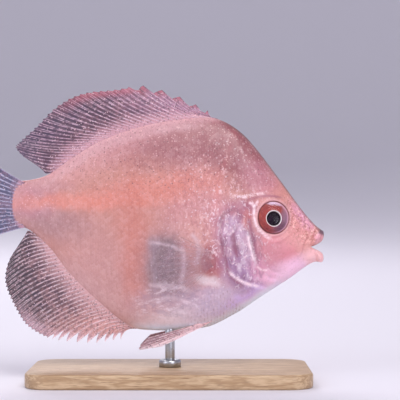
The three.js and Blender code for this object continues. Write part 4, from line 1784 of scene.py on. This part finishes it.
@dataclass
class FinSheet:
    """A thin closed fin with raised rays between its two faces."""

    name: str
    rays: int
    spines: int
    columns_per_ray: int = 8
    rows: int = 34
    spine_half: float = 0.3
    ray_half: float = 0.2
    tip_half: float = 0.1
    membrane_half: float = 0.07
    root_half: float = 0.4
    root_reach: float = 0.14
    smooth_root: float = -0.3
    spine_width: float = 0.14
    ray_width: float = 0.115
    narrowing: float = 0.04
    split: float = 0.19
    branching: tuple[float, float] = (0.4, 0.95)

    def build(self, middle: Callable[[Array, Array], tuple[Array, Array]], replaced: str,
              slot: str) -> bpy.types.Object:
        """Builds the fin.

        Args:
            middle: Gives the fin's middle surface and its across direction, from place among the
                rays (0 to 1) and place from root to margin (0 to 1).
            replaced: The CAD node that this fin stands for.
            slot: The material slot that it would be finished as; not used.

        Returns:
            The fin's object.
        """
        columns = (self.rays - 1) * self.columns_per_ray
        shape = bmesh.new()
        bmesh.ops.create_grid(shape, x_segments=columns, y_segments=self.rows, size=0.5)
        copy = bmesh.ops.extrude_face_region(shape, geom=shape.faces[:], use_keep_orig=True)
        moved = [g for g in copy["geom"] if isinstance(g, bmesh.types.BMVert)]
        bmesh.ops.translate(shape, verts=moved, vec=(0, 0, 1))
        mesh = mesh_from(shape, self.name)
        grid = read_places(mesh)
        u = np.clip(grid[:, 0] + 0.5, 0, 1)
        v = np.clip(grid[:, 1] + 0.5, 0, 1)
        face = np.where(grid[:, 2] > 0.5, 1.0, -1.0)
        ridge, half = self.thickness(u, v)
        places, across = middle(u, v)
        write_places(mesh, (places + across * (face * half)[:, None]) * MM)
        point_outwards(mesh)
        add_map(mesh, "fin_map", np.stack([u, v], axis=-1))
        add_number(mesh, "ray", ridge)
        piece = new_object(self.name, mesh)
        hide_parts(replaced)
        return piece
    def among(self, u: Array) -> tuple[Array, Array]:
        """Places among the rays as ray numbers, and how far off the nearest ray they are."""
        cell = u * (self.rays - 1)
        return cell, np.abs(cell - np.round(cell))
    def thickness(self, u: Array, v: Array) -> tuple[Array, Array]:
        """Where the rays are and how thick the fin is.

        Args:
            u: Places among the rays.
            v: Places from root to margin.

        Returns:
            How much of a ray each place is, and half the fin's thickness in millimetres.
        """
        cell, off = self.among(u)
        is_spine = np.round(cell) < self.spines
        branched = smooth(*self.branching, v)
        split = np.where(is_spine, 0.0, self.split * branched)
        wide = np.where(is_spine, self.spine_width, self.ray_width - self.narrowing * branched)
        ridge = bell((off - split) / wide) * smooth(self.smooth_root, 0.36, v)
        full = np.where(is_spine, self.spine_half, self.ray_half)
        full = full + (self.tip_half - full) * v**0.8
        sheath = self.root_half * bell(v / self.root_reach)
        return ridge, self.membrane_half + (full - self.membrane_half) * ridge + sheath


@dataclass
class EdgeFin:
    """The dorsal or the anal fin, which stands on the back's or the belly's edge."""

    sheet: FinSheet
    edge: SmoothCurve
    outward: int
    table: Table
    bow: float
    spine_notch: float
    per_tooth: float = 1.0
    fray: float = 0.5
    sunk: float = 1.3
    wave: float = 0.16
    tooth_front: float = 0.92
    deepest: float = 0.34

    def middle(self, u: Array, v: Array) -> tuple[Array, Array]:
        """The fin's middle surface.

        Args:
            u: Places among the rays.
            v: Places from root to margin.

        Returns:
            The places in millimetres, and the direction across the fin.
        """
        root_x, tip_x, tip_z = read_table(self.table, u)
        root = np.stack([root_x, self.edge(root_x)], axis=-1)
        ray = np.stack([tip_x, tip_z], axis=-1) - root
        length = np.linalg.norm(ray, axis=-1)
        cell, off = self.sheet.among(u)
        spiny = smooth(self.sheet.spines + 0.2, self.sheet.spines - 0.8, cell)
        ragged = 0.5 + 0.5 * np.sin(12.9 * np.round(cell) + 4.1 * self.outward)
        behind = cell / self.per_tooth - np.floor(cell / self.per_tooth)
        front = self.tooth_front
        saw = np.where(behind < front, (behind / front) ** 1.1, (1 - behind) / (1 - front))
        notch = self.spine_notch * spiny * saw
        notch = notch + (1 - spiny) * self.fray * (ragged * 0.8 + np.sin(off * math.pi) * 0.7)
        far = 1 - np.minimum(notch / length, self.deepest) * v
        start = -self.sunk / length
        reach = start + (far - start) * v
        normal = np.stack([-ray[:, 1], ray[:, 0]], axis=-1) / length[:, None]
        normal *= np.sign(-ray[:, :1])
        bow = self.outward * self.bow * 4 * np.maximum(reach, 0) * (1 - reach)
        flat = root + ray * reach[:, None] - normal * bow[:, None]
        sway = self.wave * np.sin(cell * 0.9 + 1.3 * v) * smooth(0.1, 0.9, v)
        places = np.stack([flat[:, 0], sway, flat[:, 1]], axis=-1)
        return places, sideways(places)


@dataclass
class TailFin:
    """The tail fin, a fan whose rays spread from the rounded end of the tail stalk."""

    flesh: Flesh
    sheet: FinSheet = field(default_factory=lambda: FinSheet(
        "tail_fin_rayed", 16, 0, columns_per_ray=10, rows=40, ray_half=0.26, root_half=0.5))
    root_z: tuple[float, float] = (41.3, 32.0)
    top_tip: tuple[float, float] = (-44.6, 50.4)
    bottom_tip: tuple[float, float] = (-45.6, 27.2)
    tip_round: float = 3.6
    fray: float = 0.3
    sunk: float = 1.6
    root_level: float = 36.7
    root_half: float = 4.95
    wave: float = 0.25

    def middle(self, u: Array, v: Array) -> tuple[Array, Array]:
        """The fin's middle surface.

        Args:
            u: Places among the rays, from the top one down.
            v: Places from root to margin.

        Returns:
            The places in millimetres, and the direction across the fin.
        """
        bulge = 1 - (2 * u - 1) ** 2
        root_z = self.root_z[0] + (self.root_z[1] - self.root_z[0]) * u
        past = np.clip(np.abs(root_z - self.root_level) / self.root_half, 0, 1)
        inset = (1 - past**self.flesh.end_power) ** (1 / self.flesh.end_power)
        root_x = self.flesh.tail_end + self.flesh.tail_round * (1 - inset) + self.sunk
        tip_x = self.top_tip[0] + (self.bottom_tip[0] - self.top_tip[0]) * u
        tip_x = tip_x - self.tip_round * bulge
        tip_z = self.top_tip[1] + (self.bottom_tip[1] - self.top_tip[1]) * u
        cell, off = self.sheet.among(u)
        ragged = 0.5 + 0.5 * np.sin(9.7 * np.round(cell))
        tip_x = tip_x + self.fray * (ragged * 0.7 + np.sin(off * math.pi))
        x = root_x + (tip_x - root_x) * v
        z = root_z + (tip_z - root_z) * v**1.1
        sway = self.wave * np.sin(2.6 * math.pi * u + 2.0 * v) * smooth(0.1, 1.0, v)
        places = np.stack([x, sway, z], axis=-1)
        return places, sideways(places)


@dataclass
class PectoralFin:
    """A pectoral fin, a nearly clear fan held out from the side behind the gill cover."""

    side: Side
    rays: int = 12
    root: tuple[float, float, float] = (8.7, 5.55, 25.6)
    root_height: float = 2.9
    length: float = 13.2
    flare: float = 36.0
    spread: float = 62.0
    droop: float = 8.0
    sunk: float = 1.1
    curl: float = 0.9
    shortest: float = 0.62
    scallop: float = 0.25
    fray: float = 0.15

    @property
    def sheet(self) -> FinSheet:
        """The fin's rays and thickness."""
        return FinSheet(
            f"pectoral_fin_{self.side.word}_rayed", self.rays, 1, columns_per_ray=8, rows=30,
            spine_half=0.13, ray_half=0.09, tip_half=0.04, membrane_half=0.03, root_half=0.3,
        )

    def middle(self, u: Array, v: Array) -> tuple[Array, Array]:
        """The fin's middle surface.

        Args:
            u: Places among the rays, from the top one down.
            v: Places from root to margin.

        Returns:
            The places in millimetres, and the direction across the fin.
        """
        sign = self.side.value
        flare = math.radians(self.flare)
        longer = (1 - self.shortest) * np.sin(math.pi * (1 - u) ** 0.8)
        length = self.length * (self.shortest + longer)
        cell, off = self.sheet.among(u)
        length = length - self.scallop * np.sin(off * math.pi)
        length = length - self.fray * np.sin(7.7 * np.round(cell))
        turn = np.radians(self.spread * (0.5 - u) - self.droop)
        reach = -self.sunk + (length + self.sunk) * v
        bend = self.curl * (np.maximum(reach, 0) / self.length) ** 2
        out = reach * np.cos(turn)
        places = np.stack([
            self.root[0] - math.cos(flare) * out - math.sin(flare) * bend,
            sign * (self.root[1] + math.sin(flare) * out - math.cos(flare) * bend),
            self.root[2] + (0.5 - u) * self.root_height + reach * np.sin(turn),
        ], axis=-1)
        across = [math.sin(flare), sign * math.cos(flare), 0.0]
        return places, np.tile(across, (len(places), 1))


@dataclass
class PelvicFin:
    """A pelvic fin, a narrow folded fan that trails back under the belly."""

    flesh: Flesh
    side: Side
    root_y: float = 1.8
    tip_y: float = 3.1
    inset: float = 0.3
    sunk: float = 0.7
    bulge: float = 0.25
    table: Table = (
        (0, 8.9, -1.6, 7.5), (0.35, 8.2, -6.1, 6.9), (0.7, 7.0, -5.6, 8.0), (1, 5.6, -4.2, 9.4),
    )

    @property
    def sheet(self) -> FinSheet:
        """The fin's rays and thickness."""
        return FinSheet(
            f"pelvic_fin_{self.side.word}_rayed", 6, 1, columns_per_ray=8, rows=34,
            spine_half=0.26, ray_half=0.2, tip_half=0.07, membrane_half=0.06, root_half=0.3,
        )

    def underside(self, x: Array, y: Array) -> Array:
        """The height of the flesh's underside."""
        level = self.flesh.level(x)
        across = (np.abs(y) / self.flesh.half_width(x)) ** (1 / self.flesh.belly_edge(x))
        return level - (level - self.flesh.belly(x)) * np.sqrt(np.maximum(1 - across**2, 0))

    def middle(self, u: Array, v: Array) -> tuple[Array, Array]:
        """The fin's middle surface.

        Args:
            u: Places among the rays, from the front one back.
            v: Places from root to margin.

        Returns:
            The places in millimetres, and the direction across the fin.
        """
        root_x, tip_x, tip_z = read_table(self.table, u)
        root_z = self.underside(root_x, np.full_like(u, self.root_y - self.inset)) + self.sunk
        y = self.root_y + (self.tip_y - self.root_y) * v
        x = root_x + (tip_x - root_x) * v
        z = root_z + (tip_z - root_z) * v**0.92
        y = y + self.bulge * np.sin(math.pi * u) * v
        places = np.stack([x, self.side.value * y, z], axis=-1)
        return places, sideways(places)


@dataclass
class Eye:
    """One eye: a red-brown iris round a dark lens, under a clear front."""

    side: Side
    place: EyePlace = EyePlace()
    pupil_drop: float = 0.4
    segments: int = 72
    iris: Line = (
        (0.0, -2.0), (1.6, -1.8), (2.7, -1.2), (3.2, -0.4), (3.3, 0.0), (3.24, 0.2),
        (3.0, 0.3), (2.5, 0.36), (2.1, 0.33), (1.86, 0.36), (1.72, 0.4), (1.58, 0.36),
        (1.5, 0.22), (1.46, 0.0), (1.2, -0.3), (0.0, -0.4),
    )
    lens: Line = (
        (0.0, 0.62), (0.5, 0.58), (0.95, 0.46), (1.25, 0.28), (1.4, 0.04), (1.3, -0.2),
        (0.0, -0.25),
    )
    clear: Line = (
        (0.0, 0.92), (0.8, 0.88), (1.6, 0.76), (2.4, 0.56), (2.95, 0.26), (3.32, -0.06),
        (3.22, -0.1), (2.85, 0.18), (2.35, 0.47), (1.6, 0.67), (0.8, 0.79), (0.0, 0.83),
    )

    def lathe(self, name: str, profile: Line) -> bpy.types.Object:
        """Spins a profile round the eye's axis and sets it in the head.

        Args:
            name: The piece's name.
            profile: Radius and height above the eye's rim, in millimetres.

        Returns:
            The piece.
        """
        shape = spun(profile, self.segments)
        radius = np.array([vertex.co.xy.length for vertex in shape.verts]) / MM
        sign = self.side.value
        tilt = Matrix.Rotation(-sign * math.radians(self.place.forward), 4, "Z")
        raise_up = Matrix.Rotation(sign * math.radians(self.place.upward), 4, "X")
        outward = Matrix.Rotation(-sign * math.pi / 2, 4, "X")
        outward = Matrix.Diagonal((self.place.narrow, 1, 1, 1)) @ outward
        centre = Vector((self.place.x, sign * self.place.rim_y, self.place.z)) * MM
        bmesh.ops.transform(
            shape, verts=shape.verts[:],
            matrix=Matrix.Translation(centre) @ tilt @ raise_up @ outward,
        )
        mesh = mesh_from(shape, name, turn_out=False)
        places = read_places(mesh)
        places[:, 2] -= self.pupil_drop * MM * np.clip(1 - radius / self.place.radius, 0, 1)
        write_places(mesh, places)
        add_number(mesh, "from_middle", radius)
        return new_object(name, mesh)

    def build(self) -> dict[str, bpy.types.Object]:
        """Builds the eye's three pieces.

        Returns:
            The iris, the lens and the clear front.
        """
        word = self.side.word
        pieces = {
            "iris": self.lathe(f"iris_{word}", self.iris),
            "lens": self.lathe(f"eye_lens_{word}", self.lens),
            "clear": self.lathe(f"eye_front_{word}", self.clear),
        }
        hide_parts(f"eye_{word}")
        return pieces


@dataclass(frozen=True)
class IrisFinish:
    """The iris: red-brown with fine rays, darker outside and silver round the pupil.

    Each entry is a patch of colour or painted sheen and the scale of the noise that wobbles its
    edge; the last is a painted sheen along the iris's top.
    """

    inner: Colour = srgb(150, 44, 46)
    outer: Colour = srgb(128, 46, 50)
    rim: Colour = srgb(200, 146, 164)
    edge: Colour = srgb(128, 62, 68)
    ring: Colour = srgb(250, 240, 240)
    pit: Colour = srgb(16, 8, 12)
    fibres: Grain = Grain(1500, 4, 0.7, 0.4, 0.7, 0.4, srgb(190, 88, 62))
    patches_and_sheen: tuple[tuple[Patch, float], ...] = (
        (Patch(23.4, 32.6, 2.0, 2.4, -30, 0.5, srgb(96, 60, 92), 0.8), 700),
        (Patch(24.0, 34.8, 0.9, 2.6, 0, 0.6, srgb(168, 124, 146), 0.6), 900),
        # Painted sheen: a pale grey-lilac arc along the iris's top edge.
        (Patch(21.6, 37.2, 2.2, 0.6, 0, 0.6, srgb(214, 190, 214), 0.85), 700),
    )

    def make(self) -> bpy.types.Material:
        """Makes the material.

        Returns:
            The material.
        """
        finish = Finish("iris")
        away = finish.number("from_middle")
        colour = finish.mix(finish.between(away, 2.3, 3.2), self.inner, self.outer)
        colour = finish.grain(colour, self.fibres)
        for patch, scale in self.patches_and_sheen:
            mask = finish.oval(patch, finish.shifted(0.0006, scale))
            colour = finish.stain(colour, mask, patch.strength, patch.colour)
        in_front = finish.between_mm(finish.part(finish.place, "X"), 20.4, 23.4)
        bright = finish.times(in_front, finish.between(away, 2.8, 3.06))
        colour = finish.stain(colour, bright, 0.75, self.rim)
        colour = finish.mix(finish.between(away, 3.16, 3.28), colour, self.edge)
        ring = finish.times(finish.between(away, 1.46, 1.52), finish.between(away, 1.75, 1.66))
        colour = finish.mix(ring, colour, self.ring)
        colour = finish.mix(finish.between(away, 1.5, 1.44), colour, self.pit)
        finish.set(
            Base_Color=colour,
            Roughness=0.55,
            Metallic=0.0,
            Normal=finish.bump(finish.noise(2600, 3, 0.6), 0.00003, 0.3),
        )
        return finish.material


@dataclass(frozen=True)
class LensFinish:
    """The dark, polished lens that fills the pupil."""

    def make(self) -> bpy.types.Material:
        """Makes the material.

        Returns:
            The material.
        """
        finish = Finish("eye_lens")
        haze = finish.between(finish.noise(800, 2), 0.4, 0.7)
        finish.set(
            Base_Color=finish.mix(haze, srgb(26, 14, 28), srgb(40, 24, 42)),
            Roughness=0.4,
            Specular_IOR_Level=0.08,
        )
        return finish.material


@dataclass(frozen=True)
class ClearFinish:
    """The eye's clear front: it mirrors the lights and hides nothing."""

    bend: float = 1.16

    def make(self) -> bpy.types.Material:
        """Makes the material.

        Returns:
            The material.
        """
        finish = Finish("eye_front")
        nodes, links = finish.tree.nodes, finish.tree.links
        through = nodes.new("ShaderNodeBsdfTransparent")
        mirror = nodes.new("ShaderNodeBsdfAnisotropic")
        mirror.inputs["Roughness"].default_value = 0.1
        share = nodes.new("ShaderNodeFresnel")
        share.inputs["IOR"].default_value = self.bend
        mixed = nodes.new("ShaderNodeMixShader")
        links.new(share.outputs[0], mixed.inputs[0])
        links.new(through.outputs[0], mixed.inputs[1])
        links.new(mirror.outputs[0], mixed.inputs[2])
        links.new(mixed.outputs[0], finish.output.inputs["Surface"])
        nodes.remove(finish.shader)
        return finish.material


@dataclass(frozen=True)
class WoodFinish:
    """Pale oiled wood with its grain along the base."""

    dark: Colour = srgb(168, 136, 102)
    light: Colour = srgb(208, 180, 146)
    pores: Colour = srgb(124, 92, 64)
    rings: float = 7.0

    def make(self) -> bpy.types.Material:
        """Makes the material.

        Returns:
            The material.
        """
        finish = Finish("stand_wood")
        wide = finish.noise(42, 5, 0.6, finish.stretched((1.0, 9.0, 9.0)))
        fine = finish.noise(150, 5, 0.65, finish.stretched((1.0, 16.0, 16.0)))
        rings = finish.math("PINGPONG", finish.times(wide, self.rings), 0.5)
        share = finish.math("ADD", finish.times(rings, 0.9), finish.times(fine, 0.45))
        colour = finish.mix(finish.between(share, 0.2, 0.85), self.dark, self.light)
        pore = finish.between(finish.noise(420, 2, 0.5, finish.stretched((1, 14, 14))), 0.6, 0.7)
        finish.set(
            Base_Color=finish.stain(colour, pore, 0.5, self.pores),
            Roughness=finish.scaled(fine, 0.25, 0.32),
            Coat_Weight=0.15,
            Coat_Roughness=0.3,
            Normal=finish.bump(finish.math("SUBTRACT", fine, pore), 0.00008, 0.5),
        )
        return finish.material


@dataclass(frozen=True)
class SteelFinish:
    """Brushed steel."""

    dark: Colour = srgb(150, 154, 160)
    light: Colour = srgb(206, 208, 212)

    def make(self) -> bpy.types.Material:
        """Makes the material.

        Returns:
            The material.
        """
        finish = Finish("stand_steel")
        brushed = finish.noise(900, 3, 0.6, finish.stretched((1.0, 1.0, 14.0)))
        finish.set(
            Base_Color=finish.mix(brushed, self.dark, self.light),
            Metallic=1.0,
            Roughness=finish.scaled(brushed, 0.2, 0.2),
            Normal=finish.bump(brushed, 0.00002, 0.4),
        )
        return finish.material


@dataclass
class Stand:
    """The display stand: a flat wooden base, a steel collar and one steel rod."""

    length: float = 58.0
    width: float = 30.0
    thickness: float = 3.0
    corner: float = 5.0
    round_edge: float = 0.5
    rod_radius: float = 1.0
    rod_top: float = 12.6
    rod_edge: float = 0.12
    collar: Line = (
        (1.05, 3.0), (2.3, 3.0), (2.3, 4.1), (2.22, 4.35), (2.0, 4.5), (1.25, 4.52), (1.08, 4.4),
    )

    def build(self) -> None:
        """Builds the stand's three pieces and dresses them."""
        wood, steel = WoodFinish().make(), SteelFinish().make()
        pieces = {"base": self.base(), "collar": self.ring(), "rod": self.rod()}
        for word, piece in pieces.items():
            piece.data.materials.append(wood if word == "base" else steel)
            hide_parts(f"stand_{word}")
            LOG.info("%s", piece.name)

    def base(self) -> bpy.types.Object:
        """The flat base with rounded corners and edges."""
        shape = bmesh.new()
        bmesh.ops.create_cube(shape, size=1.0)
        size = (self.length * MM, self.width * MM, self.thickness * MM)
        bmesh.ops.scale(shape, verts=shape.verts[:], vec=size)
        bmesh.ops.translate(shape, verts=shape.verts[:], vec=(0, 0, self.thickness * MM / 2))
        round_off(shape, [e for e in shape.edges if rise(e) > 0.5], self.corner, 14)
        flat = [
            e for e in shape.edges
            if rise(e) < 0.01
            and len(e.link_faces) == 2
            and abs(e.link_faces[0].normal.z - e.link_faces[1].normal.z) > 0.5
        ]
        round_off(shape, flat, self.round_edge, 4)
        return new_object("stand_base_wood", mesh_from(shape, "stand_base_wood"))

    def ring(self) -> bpy.types.Object:
        """The collar round the rod's foot."""
        shape = spun((*self.collar, self.collar[0]), 56)
        return new_object("stand_collar_steel", mesh_from(shape, "stand_collar_steel"))

    def rod(self) -> bpy.types.Object:
        """The rod, from the base into the belly."""
        shape = bmesh.new()
        radius = self.rod_radius * MM
        bmesh.ops.create_cone(
            shape, cap_ends=True, segments=40, radius1=radius, radius2=radius,
            depth=(self.rod_top - self.thickness) * MM,
        )
        middle = (self.rod_top + self.thickness) * MM / 2
        bmesh.ops.translate(shape, verts=shape.verts[:], vec=(0, 0, middle))
        round_off(shape, [e for e in shape.edges if rise(e) < 0.001], self.rod_edge, 2)
        return new_object("stand_rod_steel", mesh_from(shape, "stand_rod_steel"))


@dataclass(frozen=True)
class Lamp:
    """A soft square lamp that faces the fish, in metres and watts."""

    name: str
    place: tuple[float, float, float]
    size: float
    power: float
    colour: tuple[float, float, float]
    target: tuple[float, float, float] = (0, 0, 0.032)

    def build(self) -> None:
        """Hangs the lamp in the scene."""
        data = bpy.data.lights.new(self.name, "AREA")
        data.size = self.size
        data.energy = self.power
        data.color = self.colour
        lamp = bpy.data.objects.new(self.name, data)
        lamp.location = self.place
        towards = Vector(self.target) - Vector(self.place)
        lamp.rotation_euler = towards.to_track_quat("-Z", "Y").to_euler()
        bpy.context.scene.collection.objects.link(lamp)


@dataclass
class Studio:
    """A plain pale floor that curves up all round, soft lamps and the camera.

    The floor's profile is in metres, and the camera's numbers are in millimetres.
    """

    floor: Line = ((0.0, 0.0), (0.75, 0.0), (1.0, 0.05), (1.2, 0.2), (1.3, 0.45), (1.32, 1.5))
    view_x: float = 6.24
    view_z: float = 37.65
    distance: float = 300.0
    view_width: float = 83.2
    sensor: float = 36.0
    sky: Colour = (0.88, 0.87, 0.92, 1)
    sky_strength: float = 0.49
    lamps: tuple[Lamp, ...] = (
        Lamp("key", (0.2, -0.5, 0.62), 0.5, 3.9, (1.0, 0.97, 0.95)),
        Lamp("low", (0.24, -0.42, 0.07), 0.12, 0.32, (0.92, 0.93, 1.0)),
        Lamp("fill", (-0.5, -0.42, 0.3), 0.5, 1.6, (0.94, 0.95, 1.0)),
        Lamp("back", (-0.15, 0.55, 0.5), 0.4, 2.6, (1.0, 0.96, 0.98)),
    )

    def build(self) -> None:
        """Builds the floor, the lamps, the sky light and the camera."""
        self.build_floor()
        for lamp in self.lamps:
            lamp.build()
        world = bpy.data.worlds.new("studio")
        world.use_nodes = True
        light = world.node_tree.nodes["Background"].inputs
        light["Color"].default_value = self.sky
        light["Strength"].default_value = self.sky_strength
        bpy.context.scene.world = world
        bpy.context.scene.view_settings.view_transform = "Standard"
        self.build_camera()

    def build_floor(self) -> None:
        """Spins the floor's profile into a wide shallow bowl."""
        shape = spun(self.floor, 96, 1.0)
        if shape.faces[0].normal.z < 0:
            bmesh.ops.reverse_faces(shape, faces=shape.faces[:])
        mesh = mesh_from(shape, "floor", turn_out=False)
        floor = bpy.data.objects.new("floor", mesh)
        bpy.context.scene.collection.objects.link(floor)
        smoothing = floor.modifiers.new("curve", "SUBSURF")
        smoothing.levels = 2
        smoothing.render_levels = 2
        finish = Finish("floor")
        finish.set(Base_Color=srgb(222, 220, 230), Roughness=0.8)
        mesh.materials.append(finish.material)

    def build_camera(self) -> None:
        """Sets the camera square to the fish's right side, as in the photograph."""
        data = bpy.data.cameras.new("camera")
        data.sensor_width = self.sensor
        data.lens = self.sensor * self.distance / self.view_width
        data.clip_start = 0.01
        camera = bpy.data.objects.new("camera", data)
        camera.location = (self.view_x * MM, -self.distance * MM, self.view_z * MM)
        camera.rotation_euler = (math.pi / 2, 0, 0)
        bpy.context.scene.collection.objects.link(camera)
        bpy.context.scene.camera = camera


DORSAL_TABLE = (
    (0, 9.8, 7.9, 56.3), (0.06, 8.9, 4.9, 57.8), (0.14, 6.8, -0.6, 60.2),
    (0.22, 4.2, -6.6, 61.6), (0.3, 0.6, -11.4, 60.9), (0.42, -5.2, -18.0, 60.0),
    (0.54, -9.4, -23.4, 57.3), (0.66, -13.4, -28.2, 52.9), (0.76, -16.8, -31.6, 50.0),
    (0.85, -20.0, -32.4, 48.6), (0.93, -22.8, -30.4, 46.6), (1, -25.0, -26.2, 44.2),
)
ANAL_TABLE = (
    (0, -7.0, -10.2, 8.6), (0.1, -9.1, -16.2, 7.9), (0.2, -12.2, -23.3, 8.4),
    (0.3, -14.6, -26.8, 9.5), (0.42, -17.7, -30.2, 11.4), (0.54, -20.2, -32.2, 14.4),
    (0.66, -22.4, -33.7, 18.0), (0.78, -24.4, -34.4, 21.6), (0.88, -26.2, -33.6, 25.0),
    (0.95, -27.6, -31.6, 28.0), (1, -28.6, -29.7, 30.1),
)
DORSAL_COLOURS = FinColours(
    root=srgb(194, 144, 154), membrane=srgb(82, 54, 70), ray=srgb(212, 180, 198),
    margin=srgb(70, 58, 86), front=srgb(180, 136, 160), tips=srgb(192, 98, 112),
    root_share=0.5, dark_share=0.78, solid=0.98, thin=0.8,
)
ANAL_COLOURS = FinColours(
    root=srgb(208, 160, 162), membrane=srgb(92, 68, 76), ray=srgb(218, 194, 204),
    margin=srgb(34, 26, 40), front=srgb(214, 160, 156), tips=srgb(226, 190, 204),
    spine_tip=srgb(246, 224, 232), dark_share=0.85, solid=0.98, thin=0.84,
)
TAIL_COLOURS = FinColours(
    root=srgb(176, 134, 150), membrane=srgb(88, 88, 118), ray=srgb(186, 180, 208),
    margin=srgb(96, 92, 124), front=srgb(88, 86, 116), tips=srgb(160, 156, 186),
    clear_from=0.1, root_share=0.1, thin=0.66, dark_share=0.35,
)
PECTORAL_COLOURS = FinColours(
    root=srgb(196, 130, 134), membrane=srgb(170, 140, 154), ray=srgb(196, 164, 178),
    margin=srgb(160, 134, 150), front=srgb(170, 140, 154), tips=srgb(170, 146, 160),
    clear_from=0.0, root_share=0.2, solid=0.22, thin=0.04, dark_share=0.05,
)
PELVIC_COLOURS = FinColours(
    root=srgb(226, 180, 184), membrane=srgb(176, 132, 140), ray=srgb(252, 232, 238),
    margin=srgb(150, 112, 124), front=srgb(232, 198, 204), tips=srgb(240, 220, 226),
    spine_tip=srgb(250, 232, 238), dark_share=0.35, thin=0.85,
)


@dataclass
class Fish:
    """The whole fish: skin, scales, fins and eyes."""

    form: SkinForm = field(default_factory=SkinForm)

    def build_body(self) -> None:
        """Builds and dresses the skin and its scales."""
        skin = Skin(self.form).build()
        skin.data.materials.append(SkinFinish("skin").make())
        LOG.info("skin: %d faces", len(skin.data.polygons))
        coat = ScaleCoat(self.form, ArcTable(self.form.flesh))
        finish = SkinFinish("scales", on_scales=True).make()
        for side in Side:
            for where in coat.fields:
                piece = coat.build(side, where)
                piece.data.materials.append(finish)
                piece.data.calc_loop_triangles()
                LOG.info("%s: %d triangles", piece.name, len(piece.data.loop_triangles))

    def build_fins(self) -> None:
        """Builds and dresses the fins."""
        flesh = self.form.flesh
        dorsal = EdgeFin(
            FinSheet("dorsal_fin_rayed", 40, 10, columns_per_ray=10, ray_half=0.16,
                     root_half=0.34, root_reach=0.16, smooth_root=0.06),
            flesh.back, 1, DORSAL_TABLE, bow=-0.6, spine_notch=2.4, per_tooth=2.0,
        )
        anal = EdgeFin(
            FinSheet("anal_fin_rayed", 36, 9, columns_per_ray=10, ray_half=0.15,
                     root_half=0.5, root_reach=0.18, smooth_root=0.06),
            flesh.belly, -1, ANAL_TABLE, bow=-0.9, spine_notch=3.0,
        )
        plans = [
            (dorsal, "dorsal_fin", "fin", DORSAL_COLOURS),
            (anal, "anal_fin", "fin", ANAL_COLOURS),
            (TailFin(flesh), "tail_fin", "clear_fin", TAIL_COLOURS),
        ]
        for side in Side:
            pectoral, pelvic = f"pectoral_fin_{side.word}", f"pelvic_fin_{side.word}"
            plans.append((PectoralFin(side), pectoral, "clear_fin", PECTORAL_COLOURS))
            plans.append((PelvicFin(flesh, side), pelvic, "fin", PELVIC_COLOURS))
        for fin, node, slot, colours in plans:
            sheet, middle = fin.sheet, fin.middle
            piece = sheet.build(middle, node, slot)
            finish = FinFinish(sheet.name, sheet.rays, sheet.spines, colours)
            piece.data.materials.append(finish.make())
            LOG.info("%s: %d faces", piece.name, len(piece.data.polygons))

    def build_eyes(self) -> None:
        """Builds and dresses both eyes."""
        finishes = {
            "iris": IrisFinish().make(), "lens": LensFinish().make(), "clear": ClearFinish().make(),
        }
        for side in Side:
            for word, piece in Eye(side).build().items():
                piece.data.materials.append(finishes[word])
                LOG.info("%s", piece.name)


def corners(box: tuple[Vector, Vector]) -> list[list[float]]:
    """A box's two corners as plain lists."""
    return [list(corner) for corner in box]


def main() -> None:
    """Builds the studio, the fish and the stand in order."""
    logging.basicConfig(level=logging.INFO, format="%(name)s: %(message)s")
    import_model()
    Studio().build()
    fish = Fish()
    fish.build_body()
    fish.build_fins()
    fish.build_eyes()
    Stand().build()


if __name__ == "__main__":
    main()
